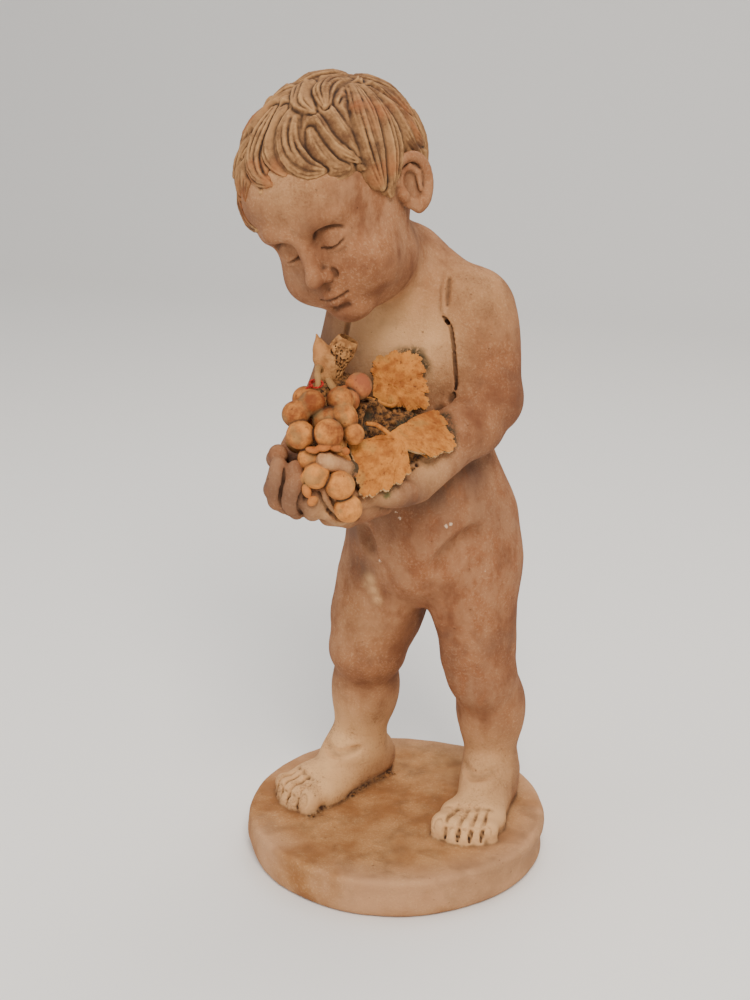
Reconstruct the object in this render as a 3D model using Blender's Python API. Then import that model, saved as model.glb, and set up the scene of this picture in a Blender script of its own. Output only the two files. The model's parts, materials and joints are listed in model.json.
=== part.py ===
"""Terracotta putto with a bunch of grapes and vine leaves, standing barefoot on a round base.

The figure and its base are one fired piece. The bunch, the two leaves, the cut vine stub and the thread that
ties the stalks are pieces of their own, set in the cupped hands.

Metres, +Z up, origin at the middle of the base's underside. The figure looks along -Y, its left hand is at +X.
The free form is sculpted in shares of the figure's own height: a pose unit is a 584th of it, which is one
millimetre at the real size, and pose heights are counted from the top of the base.
"""

import bmesh
import bpy
import numpy as np
from mathutils import Euler, Matrix, Vector

# Driving dimensions, in metres
FIGURE_HEIGHT = 0.584
BASE_DIAMETER = 0.242
BASE_THICKNESS = 0.033
BASE_UNDERCUT = 0.003
BASE_EDGE_ROUND = 0.005
LEAF_THICKNESS = 0.0035
STALK_DIAMETER = 0.0038
THREAD_DIAMETER = 0.0012
FIT_GAP = 0.0004

POSE_UNITS = 584.0
UNIT = FIGURE_HEIGHT / POSE_UNITS

# The clay grapes are carved in proportion to the figure, so that the bunch keeps its touch at every size
GRAPE_DIAMETER = 19.5 * UNIT

# The block of clay that the figure is cut from, in pose units
CLAY_LOW = (-135.0, -172.0, -14.0)
CLAY_HIGH = (130.0, 112.0, 604.0)
CLAY_CELL = 2.6
FAR = 60.0
FIGURE_TRIANGLES = 4700


class Clay:
    """The distance to a form's skin on a grid, negative inside, added to and cut by simple blended shapes."""

    def __init__(self, low, high, cell):
        self.low = np.array(low, float)
        self.cell = cell
        self.shape = np.ceil((np.array(high) - self.low) / cell).astype(int) + 1
        self.field = np.full(self.shape, FAR, np.float32)
        self.frame = Matrix.Identity(4)

    def window(self, points, reach):
        """The part of the grid within reach of the points, with its three coordinates."""
        points = np.array(points, float)
        first = np.floor((points.min(0) - reach - self.low) / self.cell).astype(int).clip(0)
        last = np.ceil((points.max(0) + reach - self.low) / self.cell).astype(int) + 1
        last = np.minimum(last, self.shape)
        axes = [self.low[k] + self.cell * np.arange(first[k], last[k]) for k in range(3)]
        slices = tuple(slice(a, b) for a, b in zip(first, last))
        return slices, np.meshgrid(*axes, indexing="ij", sparse=True)

    def blend(self, slices, distance, soft, cut):
        """Joins a shape on, or cuts it away, with a fillet of about the size soft."""
        old = self.field[slices]
        if 0 in old.shape:
            return
        sign = -1.0 if cut else 1.0
        fillet = np.maximum(soft - np.abs(sign * old - distance), 0.0) / soft
        new = np.minimum(sign * old, distance) - fillet * fillet * soft / 4.0
        self.field[slices] = sign * new

    def egg(self, centre, radii, turn=(0, 0, 0), soft=8.0, cut=False):
        """An ellipsoid: the length of the point over the radii, scaled back to a distance."""
        size = self.frame.to_scale()[0]
        place = self.frame @ Matrix.Translation(centre) @ Euler(np.radians(turn)).to_matrix().to_4x4()
        slices, grid = self.window([place.translation], (max(radii) + soft) * size + 2 * self.cell)
        back = place.inverted()
        local = [sum(back[k][n] * grid[n] for n in range(3)) + back[k][3] for k in range(3)]
        over = np.sqrt(sum((q / r) ** 2 for q, r in zip(local, radii)))
        slope = np.sqrt(sum((q / r**2) ** 2 for q, r in zip(local, radii)))
        self.blend(slices, size * over * (over - 1.0) / np.maximum(slope, 1e-6), soft * size, cut)

    def limb(self, start, end, thick, thin, soft=8.0, cut=False, flat=1.0, face=(0, 0, 1)):
        """A round bar whose radius runs from thick to thin, pressed flat across the face direction."""
        a, b = (np.array(self.frame @ Vector(p)) for p in (start, end))
        face = np.array((self.frame.to_3x3() @ Vector(face)).normalized())
        size = self.frame.to_scale()[0]
        thick, thin, soft = thick * size, thin * size, soft * size
        slices, grid = self.window([a, b], max(thick, thin) + soft + 2 * self.cell)
        along = b - a
        share = sum((grid[k] - a[k]) * along[k] for k in range(3)) / (along @ along)
        share = np.clip(share, 0.0, 1.0)
        off = [grid[k] - a[k] - share * along[k] for k in range(3)]
        if flat != 1.0:
            rise = sum(off[k] * face[k] for k in range(3)) * (1.0 / flat - 1.0)
            off = [off[k] + rise * face[k] for k in range(3)]
        radius = thick + (thin - thick) * share
        distance = np.sqrt(sum(q * q for q in off)) - radius
        self.blend(slices, distance * (flat if flat < 1.0 else 1.0), soft, cut)

    def strip(self, path, radii, soft=8.0, cut=False, flat=1.0, face=(0, 0, 1)):
        """Limbs end to end along a path."""
        for n in range(len(path) - 1):
            self.limb(path[n], path[n + 1], radii[n], radii[n + 1], soft, cut, flat, face)

    def smooth(self):
        """Each point of the grid becomes a weighted mean of itself and its six neighbours along the axes."""
        for axis in range(3):
            field = np.moveaxis(self.field, axis, 0)
            field[1:-1] = 0.25 * field[:-2] + 0.5 * field[1:-1] + 0.25 * field[2:]

    def fill_diagonals(self):
        """Fills a corner of each grid square whose inside corners lie across from each other, so that no two
        sheets of the skin share an edge."""
        found = 1
        while found:
            found = 0
            for pair in ((0, 1), (1, 2), (2, 0)):
                field = np.moveaxis(self.field, pair, (0, 1))
                inside = field < 0
                a, b, c, d = inside[:-1, :-1], inside[1:, :-1], inside[:-1, 1:], inside[1:, 1:]
                one, two = a & d & ~b & ~c, b & c & ~a & ~d
                field[1:, :-1][one] = field[:-1, :-1][two] = -0.1 * self.cell
                found += one.sum() + two.sum()

    def skin(self):
        """Vertices and quads of the surface: one vertex in each cell that the skin crosses, the mean of the
        crossings on its edges, and one quad round each crossed edge."""
        self.fill_diagonals()
        field = self.field
        inside = field < 0
        steps = np.array([field.shape[1] * field.shape[2], field.shape[2], 1])
        cells, points, outward = [], [], []
        for axis in range(3):
            low = [slice(1, -1)] * 3
            high = list(low)
            low[axis], high[axis] = slice(1, -2), slice(2, -1)
            low, high = tuple(low), tuple(high)
            crossed = np.argwhere(inside[low] != inside[high]) + 1
            index = crossed @ steps
            near = field.reshape(-1)[index]
            far = field.reshape(-1)[index + steps[axis]]
            point = crossed.astype(float)
            point[:, axis] += near / (near - far)
            one, two = steps[(axis + 1) % 3], steps[(axis + 2) % 3]
            cells.append(np.stack([index, index - one, index - one - two, index - two], 1))
            points.append(point)
            outward.append(near < 0)
        used, quads = np.unique(np.concatenate(cells), return_inverse=True)
        quads = quads.reshape(-1, 4)
        count = np.bincount(quads.reshape(-1))
        weights = np.repeat(np.concatenate(points), 4, axis=0)
        mean = [np.bincount(quads.reshape(-1), weights[:, k]) / count for k in range(3)]
        quads = np.where(np.concatenate(outward)[:, None], quads, quads[:, ::-1])
        return np.stack(mean, 1) * self.cell + self.low, quads


def head_frame():
    """The head's own frame: its middle, bowed forward, turned and tipped to the figure's right."""
    bow = Matrix.Rotation(np.radians(HEAD_BOW), 4, "X")
    tip = Matrix.Rotation(np.radians(HEAD_TIP), 4, "Y")
    turn = Matrix.Rotation(np.radians(HEAD_TURN), 4, "Z")
    return Matrix.Translation(HEAD_MIDDLE) @ turn @ tip @ bow @ Matrix.Scale(HEAD_SIZE, 4)


HEAD_MIDDLE = (-28.0, -43.0, 497.0)
HEAD_SIZE = 0.965
HEAD_BOW = 25.0
HEAD_TIP = -20.0
HEAD_TURN = -14.0


def model_torso(clay):
    """Pelvis, belly, ribs, chest, shoulders and neck."""
    clay.egg((21, 26, 214), (63, 46, 46))
    clay.egg((-9, 46, 201), (35, 32, 37), soft=9)
    clay.egg((49, 50, 199), (35, 32, 37), soft=9)
    clay.egg((20, 4, 238), (56, 41, 40), soft=18)
    clay.egg((57, 28, 242), (31, 33, 46), soft=18)
    clay.egg((-18, 27, 246), (29, 33, 44), soft=18)
    clay.egg((17, 3, 276), (52, 46, 52), soft=20)
    clay.egg((16, 32, 290), (47, 33, 56), soft=24)
    clay.egg((11, 18, 345), (48, 38, 66), soft=24)
    clay.egg((-13, -5, 380), (27, 15, 22), soft=20)
    clay.egg((33, -3, 380), (27, 15, 22), soft=20)
    clay.limb((-26, 16, 408), (52, 20, 408), 24, 24, soft=18)
    clay.limb((3, 18, 425), (-18, -12, 462), 31, 32, soft=24)
    clay.limb((6, 24, 446), (48, 22, 420), 17, 17, soft=20)
    clay.limb((0, 22, 446), (-28, 18, 418), 17, 17, soft=20)
    clay.egg((-17, 44, 373), (20, 13, 28), turn=(0, 12, 0), soft=12)
    clay.egg((43, 46, 370), (20, 13, 28), turn=(0, -12, 0), soft=12)


def model_back(clay):
    """The hollow of the back, the furrow of the spine and the cleft below it."""
    clay.egg((19, 103, 264), (66, 40, 30), soft=28, cut=True)
    clay.strip([(10, 63, 404), (12, 62, 370), (15, 68, 320), (18, 68, 275)], [3, 5, 6, 5], soft=14, cut=True)
    clay.strip([(20, 81, 230), (20.5, 87, 205), (21, 85, 182), (21, 70, 166)], [3, 5, 5, 4], soft=8, cut=True)


def model_legs(clay):
    """The straight left leg that carries the weight, and the relaxed right leg set back and outwards."""
    clay.limb((52, 25, 208), (63, 26, 116), 38, 26.5, soft=16)
    clay.egg((46, 22, 180), (30, 34, 44), soft=14)
    clay.egg((64, 18, 104), (24, 22, 20), soft=11)
    clay.limb((65, 29, 108), (68.5, 44, 26), 23, 20.5, soft=9)
    clay.egg((68, 41, 78), (27.5, 26.5, 36), soft=11)
    clay.limb((-10, 22, 208), (-27, 12, 124), 38, 29, soft=16)
    clay.egg((-3, 18, 184), (31, 34, 44), soft=14)
    clay.egg((-29, 4, 120), (27, 23, 22), soft=11)
    clay.limb((-30, 16, 112), (-48, 35, 26), 23, 22, soft=9)
    clay.egg((-37, 27, 84), (27.5, 27, 34), soft=11)


# Each toe: sideways place of its tip, how far forward it reaches, its radius, sideways place of its root
TOES = (
    (16, -96, 9.2, 13),
    (4.5, -97, 7.2, 3),
    (-5, -96, 7.0, -5.5),
    (-14, -92, 6.8, -13.5),
    (-22, -86, 6.6, -20),
)


def model_foot(clay, heel, heading, inner):
    """A bare foot flat on the base; inner is +1 where the big toe is on the foot's +X side."""
    clay.frame = Matrix.Translation(heel) @ Matrix.Rotation(np.radians(heading), 4, "Z")
    clay.egg((0, 2, 14), (20, 21, 20), soft=8)
    clay.limb((0, -6, 32), (0, -54, 15), 20, 16, soft=11, flat=0.9)
    clay.limb((-7 * inner, -10, 9), (-12 * inner, -58, 8), 14, 13, soft=8)
    clay.egg((-1 * inner, -62, 8), (26, 20, 14), soft=9)
    for tip, reach, radius, root in TOES:
        knuckle = (0.5 * (tip + root) * inner, 0.5 * (reach - 70) - 2, 11.5)
        end = (tip * inner, reach + radius, radius * 0.72)
        clay.strip([(root * inner, -66, 9), knuckle, end], [radius, radius, radius * 0.94], soft=2.2)
    clay.frame = Matrix.Identity(4)


def model_arms(clay):
    """Both arms bent at the elbow, the hands cupped before the belly."""
    clay.limb((55, 19, 412), (67, 14, 348), 27, 23.5, soft=12)
    clay.egg((60, 20, 385), (25, 27, 40), soft=10)
    clay.limb((67, 12, 342), (40, -66, 303), 23.5, 16, soft=9)
    clay.egg((61, -12, 328), (21, 29, 20), turn=(-20, 0, -18), soft=9)
    clay.limb((-34, 14, 410), (-47, -6, 346), 26, 21.5, soft=12)
    clay.limb((-47, -10, 340), (-50, -84, 305), 21.5, 15, soft=9)
    clay.egg((-49, -32, 328), (19, 27, 19), turn=(-20, 0, 4), soft=9)


LEFT_FINGERS = (
    ([(20, -102, 299), (8, -126, 298), (-1, -134, 304), (-3, -134, 310)], 7.6),
    ([(18, -98, 292), (4, -122, 289), (-7, -132, 296), (-10, -134, 303)], 7.8),
    ([(20, -92, 288), (6, -112, 284), (-5, -120, 286)], 7.6),
    ([(22, -84, 287), (10, -98, 283)], 7.4),
    ([(32, -88, 305), (20, -104, 311), (11, -117, 320), (1, -138, 332)], 7.8),
)
RIGHT_FINGERS = (
    ([(-38, -100, 301), (-38, -127, 301), (-35, -143, 309), (-30, -145, 323)], 8.2),
    ([(-28, -102, 297), (-26, -129, 296), (-22, -143, 304), (-18, -143, 317)], 8.2),
    ([(-16, -100, 294), (-13, -126, 292), (-9, -137, 297), (-7, -138, 303)], 7.6),
    ([(-6, -96, 292), (-3, -116, 289), (1, -126, 291)], 7.0),
    ([(-52, -90, 311), (-46, -116, 322), (-35, -136, 332)], 7.6),
)


def model_hands(clay):
    """Palms up under the bunch, the fingers curling round it from both sides."""
    clay.egg((25, -86, 301), (25, 29, 14), turn=(-12, 0, -35), soft=8)
    clay.egg((-36, -98, 306), (23, 27, 15), turn=(-10, 0, 12), soft=8)
    for path, radius in LEFT_FINGERS + RIGHT_FINGERS:
        clay.strip(path, [radius * (1 - 0.05 * n) for n in range(len(path))], soft=2.2)


def model_bed(clay):
    """The rough clay bed between chest and forearms that the bunch, leaves and stub are set in."""
    clay.egg((13, -50, 322), (36, 42, 25), turn=(-12, 0, 0), soft=8)
    clay.egg((-18, -60, 326), (30, 44, 27), turn=(-8, 0, 0), soft=8)
    clay.egg((-25, -62, 349), (22, 32, 25), soft=6)
    clay.egg((8, -78, 346), (14, 18, 14), soft=6)
    clay.egg((-5, -94, 320), (29, 26, 24), soft=6)


def model_head(clay):
    """Skull and the forms of a calm, full-cheeked child's face, in the head's own frame."""
    clay.frame = head_frame()
    clay.egg((0, 8, 18), (62, 70, 58), soft=10)
    clay.egg((0, -20, -24), (47, 42, 50), soft=22)
    clay.egg((0, -16, -55), (34, 38, 21), soft=20)
    clay.egg((0, -38, 24), (45, 27, 32), soft=16)
    clay.egg((0, -49, -44), (22, 16, 19), soft=14)
    clay.egg((0, -53, -63), (15, 12, 11), soft=11)
    for side in (-1, 1):
        clay.egg((27 * side, -42, -36), (21, 20, 21), soft=12)
        clay.egg((21 * side, -64, -6), (13, 7, 8), soft=8, cut=True)
        clay.egg((20.5 * side, -50.5, -8.5), (11.5, 10.5, 9), soft=2)
        model_eyelids(clay, side)
        clay.strip([(8 * side, -65, 5), (20 * side, -63.5, 10), (34 * side, -53, 6)], [3, 3.4, 2.4], soft=8)
    model_nose(clay)
    model_mouth(clay)
    for side in (-1, 1):
        model_ear(clay, side)
    clay.frame = Matrix.Identity(4)


def model_eyelids(clay, side):
    """Two thin rims round the eyeball that meet at its corners."""
    upper = [(10, -57.5, -10.5), (15, -61, -5), (21, -61.5, -3), (27, -58.5, -5), (31.5, -52, -10)]
    lower = [(10, -57.5, -11), (15.5, -59.5, -14.5), (21, -59.5, -16), (27, -56.5, -14), (31.5, -52, -10.5)]
    clay.strip([(x * side, y, z) for x, y, z in upper], [1.2, 1.8, 2.0, 1.8, 1.2], soft=1.5)
    clay.strip([(x * side, y, z) for x, y, z in lower], [1.1, 1.4, 1.5, 1.4, 1.1], soft=1.5)


def model_nose(clay):
    """A short rounded nose with wings and nostrils."""
    clay.limb((0, -63, -3), (0, -70.5, -24), 4.2, 5.6, soft=9)
    clay.egg((0, -73, -28), (6.6, 6, 5.8), soft=4)
    for side in (-1, 1):
        clay.egg((6.8 * side, -67, -30), (4.6, 5.6, 4.6), soft=2.5)
        clay.egg((3.4 * side, -70.5, -34.2), (1.8, 2.8, 1.8), soft=1, cut=True)


def model_mouth(clay):
    """Closed lips with a bow above and a soft fold below."""
    clay.limb((0, -67.5, -36), (0, -68, -41), 1.5, 1.5, soft=3, cut=True)
    clay.strip([(-11, -60, -47.5), (-3.5, -65.5, -44.6), (0, -65.8, -45.4), (3.5, -65.5, -44.6), (11, -60, -47.5)],
               [1.8, 2.8, 2.8, 2.8, 1.8], soft=2.5)
    clay.strip([(-9, -60.5, -50), (0, -64, -51), (9, -60.5, -50)], [2.2, 3.6, 2.2], soft=2.5)
    clay.strip([(-12, -61.5, -48.2), (0, -69, -47.8), (12, -61.5, -48.2)], [0.7, 0.9, 0.7], soft=1.5, cut=True)
    clay.limb((-7, -63, -57), (7, -63, -57), 1.5, 1.5, soft=6, cut=True)


def model_ear(clay, side):
    """A rounded shell that stands off behind, with a rim, a hollow and a lobe."""
    clay.egg((56 * side, 0, -8), (6.5, 13, 21), turn=(-10, 0, -20 * side), soft=4)
    rim = [(56, -12, 0), (60, -9, 11), (64, 1, 15), (67, 10, 8), (67, 11, -6), (62, 4, -19), (57, -4, -27)]
    clay.strip([(x * side, y, z) for x, y, z in rim], [3, 3.4, 3.6, 3.6, 3.4, 3.6, 5], soft=2.5)
    clay.egg((65 * side, -1, -5), (6, 7.5, 11), turn=(-10, 0, -20 * side), soft=3, cut=True)
    clay.egg((57.5 * side, -10, -9), (4, 3.5, 5), soft=2)


HAIR_SWIRL = 0.5
# Share of the way from the crown to the hairline where a tier's locks start and end, and their number
HAIR_TIERS = ((0.62, 1.06, 15), (0.36, 0.84, 13), (0.04, 0.56, 9))
LOCK_HALF_WIDTH = 10.5
SKULL_MIDDLE = (0.0, 8.0, 18.0)
HAIR_RADII = (66.0, 75.0, 63.0)
CROWN_BACK = np.radians(18.0)


def hairline(around):
    """How far down from the crown the hair reaches, in radians, from the forehead (0) round to the nape (pi)."""
    turns = np.radians((0.0, 45.0, 75.0, 92.0, 106.0, 122.0, 180.0))
    return np.interp(abs(around), turns, (1.40, 1.55, 1.62, 1.70, 2.12, 2.30, 2.32))


def on_hair(around, down, lift=0.0):
    """A point on the cap of hair: round from the forehead, and down from the crown."""
    out = Vector((np.sin(around) * np.sin(down), -np.cos(around) * np.sin(down), np.cos(down)))
    out = Matrix.Rotation(-CROWN_BACK * np.cos(down / 2) ** 2, 3, "X") @ out
    size = 1.0 / np.sqrt(sum((q / r) ** 2 for q, r in zip(out, HAIR_RADII)))
    return tuple(Vector(SKULL_MIDDLE) + out * (size + lift))


def model_hair(clay):
    """A cap of hair with pointed locks in tiers, the upper over the lower."""
    clay.frame = head_frame()
    for n in range(40):
        around = np.pi * (2 * (n + 0.5) / 40 - 1)
        reach = hairline(around)
        steps = [0.12, 0.4, 0.68, 0.96]
        clay.strip([on_hair(around, reach * s, -9.0) for s in steps], [11.0] * 4, soft=3)
    rng = np.random.default_rng(7)
    for first, last, count in HAIR_TIERS:
        for n in range(count):
            model_lock(clay, 2 * np.pi * (n + rng.uniform(0.3, 0.7)) / count, first, last, rng)
    clay.frame = Matrix.Identity(4)


def model_lock(clay, around, first, last, rng):
    """One lock, bent sideways, thick in the middle and pointed at the tip."""
    around = (around + np.pi) % (2 * np.pi) - np.pi
    bend = rng.uniform(-0.35, 0.35)
    last = last + rng.uniform(-0.06, 0.04)
    path = []
    for s in np.linspace(0.0, 1.0, 5):
        down = hairline(around) * (first + (last - first) * s)
        sway = HAIR_SWIRL * (s - 0.5) * 0.5 + bend * np.sin(np.pi * s) * 0.4
        path.append(on_hair(around + sway, down, -0.5 + 2.0 * np.sin(np.pi * min(1, s + 0.1))))
    radii = [LOCK_HALF_WIDTH * 0.62 * q for q in (0.8, 1.0, 1.0, 0.8, 0.4)]
    clay.strip(path, radii, soft=2.0)


def figure_clay(cell):
    """The whole figure as clay."""
    clay = Clay(CLAY_LOW, CLAY_HIGH, cell)
    model_torso(clay)
    model_legs(clay)
    model_foot(clay, (68, 52, 0), 0, -1)
    model_foot(clay, (-42, 47, 0), -23, 1)
    model_arms(clay)
    model_back(clay)
    model_bed(clay)
    model_hands(clay)
    model_head(clay)
    model_hair(clay)
    clay.smooth()
    return clay


def fired_clay(name, colour):
    """A dry, dull material."""
    material = bpy.data.materials.new(name)
    material.use_nodes = True
    shader = material.node_tree.nodes["Principled BSDF"]
    shader.inputs["Base Color"].default_value = (*colour, 1.0)
    shader.inputs["Roughness"].default_value = 0.85
    shader.inputs["Metallic"].default_value = 0.0
    return material


def to_metres(points):
    """Pose units over the base's top to metres over its underside."""
    return np.array(points) * UNIT + (0.0, 0.0, BASE_THICKNESS)


def mesh_object(name, points, faces, material):
    """An object whose mesh is given in metres."""
    mesh = bpy.data.meshes.new(name)
    mesh.from_pydata([tuple(p) for p in points], [], [tuple(f) for f in faces])
    mesh.update()
    mesh.materials.append(material)
    obj = bpy.data.objects.new(name, mesh)
    bpy.context.scene.collection.objects.link(obj)
    return obj


def form_object(name, form, material):
    """An object from a bmesh, which is freed."""
    mesh = bpy.data.meshes.new(name)
    form.to_mesh(mesh)
    form.free()
    mesh.materials.append(material)
    obj = bpy.data.objects.new(name, mesh)
    bpy.context.scene.collection.objects.link(obj)
    return obj


def boolean(obj, operation, other, crowded=False, solver="EXACT"):
    """Joins another closed shape on, or cuts it out; the other shape becomes a hidden helper, and it is crowded
    where its own bodies run into each other."""
    other.hide_render = True
    other.display_type = "WIRE"
    step = obj.modifiers.new(operation.lower() + "_" + other.name, "BOOLEAN")
    step.operation = operation
    step.object = other
    step.solver = solver
    step.use_self = crowded


def tube(name, path, radii, sides, material, grow=0.0):
    """A closed bar of ring sections along a path in pose units; grow widens and lengthens it by a clearance."""
    path = to_metres(path)
    along = np.gradient(path, axis=0)
    along /= np.linalg.norm(along, axis=1)[:, None]
    path[0] -= along[0] * grow
    path[-1] += along[-1] * grow
    across = np.cross(along, (1.0, 0.0, 0.0))
    across /= np.linalg.norm(across, axis=1)[:, None]
    upward = np.cross(across, along)
    turn = 2 * np.pi * np.arange(sides) / sides
    radii = np.array(radii) + grow
    circle = np.cos(turn)[None, :, None] * across[:, None] + np.sin(turn)[None, :, None] * upward[:, None]
    points = (path[:, None] + radii[:, None, None] * circle).reshape(-1, 3)
    faces = []
    for ring in range(len(path) - 1):
        for k in range(sides):
            a, b = ring * sides + k, ring * sides + (k + 1) % sides
            faces += [(a, a + sides, b + sides), (a, b + sides, b)]
    faces.append(tuple(range(sides)))
    faces.append(tuple(range(len(points) - 1, len(points) - sides - 1, -1)))
    return mesh_object(name, points, faces, material)


# Middle of each grape in pose units, and its share of the grape diameter
GRAPES = (
    (-24, -131, 360, 0.90),
    (-15, -122, 367, 0.86),
    (-25, -113, 367, 0.88),
    (-1, -108, 367, 0.90),
    (6, -116, 357, 0.90),
    (-17, -138, 348, 1.02),
    (2, -134, 350, 1.02),
    (-11, -136, 332, 0.88),
    (-4, -142, 322, 0.94),
    (11, -136, 315, 1.04),
    (15, -132, 298, 1.02),
    (4, -86, 372, 0.97),
    (14, -119, 347, 0.76),
    (-26, -122, 339, 0.92),
    (1, -97, 364, 0.80),
    (-6, -120, 354, 1.00),
    (-2, -118, 338, 1.00),
    (4, -122, 326, 0.94),
    (-10, -130, 319, 0.86),
    (-27, -110, 350, 1.00),
    (1, -104, 352, 0.94),
)
STALKS = (
    ([(-28, -75, 378), (-26, -87, 383), (-21, -100, 382), (-18, -106, 376), (-18, -108, 369)], 1.0),
    ([(-27, -73, 377), (-21, -79, 371), (-14, -86, 368), (-7, -91, 368), (-1, -89, 371)], 1.1),
)
THREAD_MIDDLE = (-18.0, -107.0, 376.5)
THREAD_RING = 0.0055
THREAD_TURN = (18.0, 0.0, 25.0)


def grape_balls(name, grapes, material, grow=0.0):
    """Grapes as faceted balls, each grown by a clearance."""
    form = bmesh.new()
    for x, y, z, share in grapes:
        place = Matrix.Translation(to_metres((x, y, z)))
        bmesh.ops.create_icosphere(form, subdivisions=2, radius=share * GRAPE_DIAMETER / 2 + grow, matrix=place)
    return form_object(name, form, material)


def stalk(name, number, material, grow=0.0):
    """One of the two stalks that the bunch hangs from."""
    path, share = STALKS[number]
    return tube(name, path, [share * STALK_DIAMETER / 2] * len(path), 6, material, grow)


def thread_ring(name, material, grow=0.0):
    """The thread wound round the stalk's foot, as one ring."""
    form = bmesh.new()
    place = Matrix.Translation(to_metres(THREAD_MIDDLE)) @ Euler(np.radians(THREAD_TURN)).to_matrix().to_4x4()
    bmesh.ops.create_circle(form, segments=5, radius=THREAD_DIAMETER / 2 + grow,
                            matrix=Matrix.Translation((THREAD_RING, 0, 0)) @ Matrix.Rotation(np.pi / 2, 4, "X"))
    bmesh.ops.spin(form, geom=form.verts[:] + form.edges[:], cent=(0, 0, 0), axis=(0, 0, 1),
                   angle=2 * np.pi, steps=12, use_merge=True, use_duplicate=False)
    bmesh.ops.recalc_face_normals(form, faces=form.faces[:])
    form.transform(place)
    return form_object(name, form, material)


def make_bunch(material, seats):
    """The bunch: balls of clay joined to each other and to the two stalks."""
    obj = grape_balls("grape_bunch", GRAPES[:1], material)
    boolean(obj, "UNION", grape_balls("grapes_joined", GRAPES[1:], material), crowded=True)
    for number in range(len(STALKS)):
        boolean(obj, "UNION", stalk(f"stalk_{number}", number, material))
    for seat in seats:
        boolean(obj, "DIFFERENCE", seat)
    return obj


# Where each leaf's ribs meet, and the points of its edge in order, each with 1 where the stretch after it is
# toothed and 0 where it is plain
UPPER_LEAF_RIB = (11, -41, 363)
UPPER_LEAF = (
    (-3, -42, 369, 1), (-6, -36, 378, 1), (5, -28, 384, 1), (14, -25, 384, 1), (23, -22, 383, 1),
    (29, -24, 375, 1), (30, -28, 367, 1), (35, -30, 361, 1), (34, -35, 355, 1), (39, -37, 350, 1),
    (30, -42, 347, 1), (19, -46, 349, 1), (9, -49, 351, 0), (0, -50, 356, 0),
)
LOWER_LEAF_RIB = (36, -90, 337)
LOWER_LEAF = (
    (6, -112, 338, 0), (19, -103, 340, 0), (29, -89, 342, 0), (35, -56, 346, 0), (42, -38, 347, 1),
    (50, -38, 342, 1), (56, -46, 335, 1), (65, -53, 327, 1), (58, -74, 324, 1), (49, -82, 327, 0),
    (42, -91, 331, 0), (46, -97, 320, 1), (45, -104, 315, 1), (38, -111, 310, 1), (31, -118, 307, 1),
    (23, -124, 304, 1), (18, -123, 314, 1), (12, -116, 329, 0),
)
LEAF_TOOTH = 2.4
UPPER_TENDRIL = [(17, -44, 351), (15, -55, 351.5), (8, -68, 358), (2, -76, 362)]
LOWER_TENDRIL = [(33, -92, 338), (28, -95, 344), (22, -98, 349), (17, -104, 351)]


def toothed(outline, rib, grow):
    """The edge, with one tooth on each toothed stretch, the whole pushed out by a clearance."""
    points = []
    for here, there in zip(outline, outline[1:] + outline[:1]):
        tooth = LEAF_TOOTH * here[3]
        here, there = np.array(here[:3], float), np.array(there[:3], float)
        along = there - here
        out = (here + there) / 2 - rib
        out -= along * (out @ along) / (along @ along)
        out /= np.linalg.norm(out)
        for share, rise in ((0.0, 0.0), (0.42, tooth), (0.62, -0.1 * tooth)):
            points.append(here + along * share + out * (rise + grow / UNIT))
    return np.array(points)


def leaf(name, rib, outline, material, grow=0.0):
    """A thin slab: a fan of rings from the meeting of the ribs to the toothed edge, lifted along the ribs."""
    rib = np.array(rib, float)
    edge = toothed(outline, rib, grow)
    spokes = edge - rib
    facing = np.cross(spokes, np.roll(spokes, -1, axis=0)).sum(0)
    facing *= -1 / np.linalg.norm(facing)
    middle = rib + 0.55 * spokes + 1.2 * facing
    half = (LEAF_THICKNESS / 2 + grow) / UNIT
    count = len(edge)
    points = []
    for side in (half, -half):
        points += [rib + facing * side] + list(middle + facing * side) + list(edge + facing * side * 0.7)
    faces = []
    other = 2 * count + 1
    for k in range(count):
        n = (k + 1) % count
        a, b, c, d = 1 + k, 1 + n, 1 + count + k, 1 + count + n
        faces += [(0, b, a), (a, b, d), (a, d, c)]
        faces += [(other, other + a, other + b), (other + a, other + d, other + b), (other + a, other + c, other + d)]
        faces += [(c, d, other + d), (c, other + d, other + c)]
    return mesh_object(name, to_metres(points), faces, material)


def tendril(name, path, material, grow=0.0):
    """A thin stem that springs from a leaf."""
    radius = 0.42 * STALK_DIAMETER
    return tube(name, path, [radius] * len(path), 6, material, grow)


def make_leaf(name, rib, outline, path, material):
    """A leaf with its tendril."""
    obj = leaf(name, rib, outline, material)
    boolean(obj, "UNION", tendril(name + "_tendril", path, material))
    return obj


def leaf_seats(name, rib, outline, path, material):
    """What the leaf and its tendril need cleared round them."""
    return [leaf(name + "_seat", rib, outline, material, FIT_GAP),
            tendril(name + "_tendril_seat", path, material, FIT_GAP)]


STUB_PATH = [(-28, -70, 368), (-26, -69, 376), (-22, -67, 384), (-18, -65, 391), (-15, -64, 396)]
STUB_RADII = (8.5, 10.5, 10.0, 10.4, 8.6)
STUB_HOLLOW_PATH = [(-19, -65.5, 389), (-16, -64.5, 394), (-11, -62.5, 403)]
STUB_HOLLOW_RADII = (3.5, 5.5, 6.5)


def stub(name, material, grow=0.0):
    """The vine stub's solid form: a short knotty bar."""
    return tube(name, STUB_PATH, np.array(STUB_RADII) * UNIT, 9, material, grow)


def make_stub(material):
    """The cut stub of vine, hollow at its upper end."""
    obj = stub("vine_stub", material)
    hollow = tube("stub_hollow", STUB_HOLLOW_PATH, np.array(STUB_HOLLOW_RADII) * UNIT, 9, material)
    boolean(obj, "DIFFERENCE", hollow)


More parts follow.
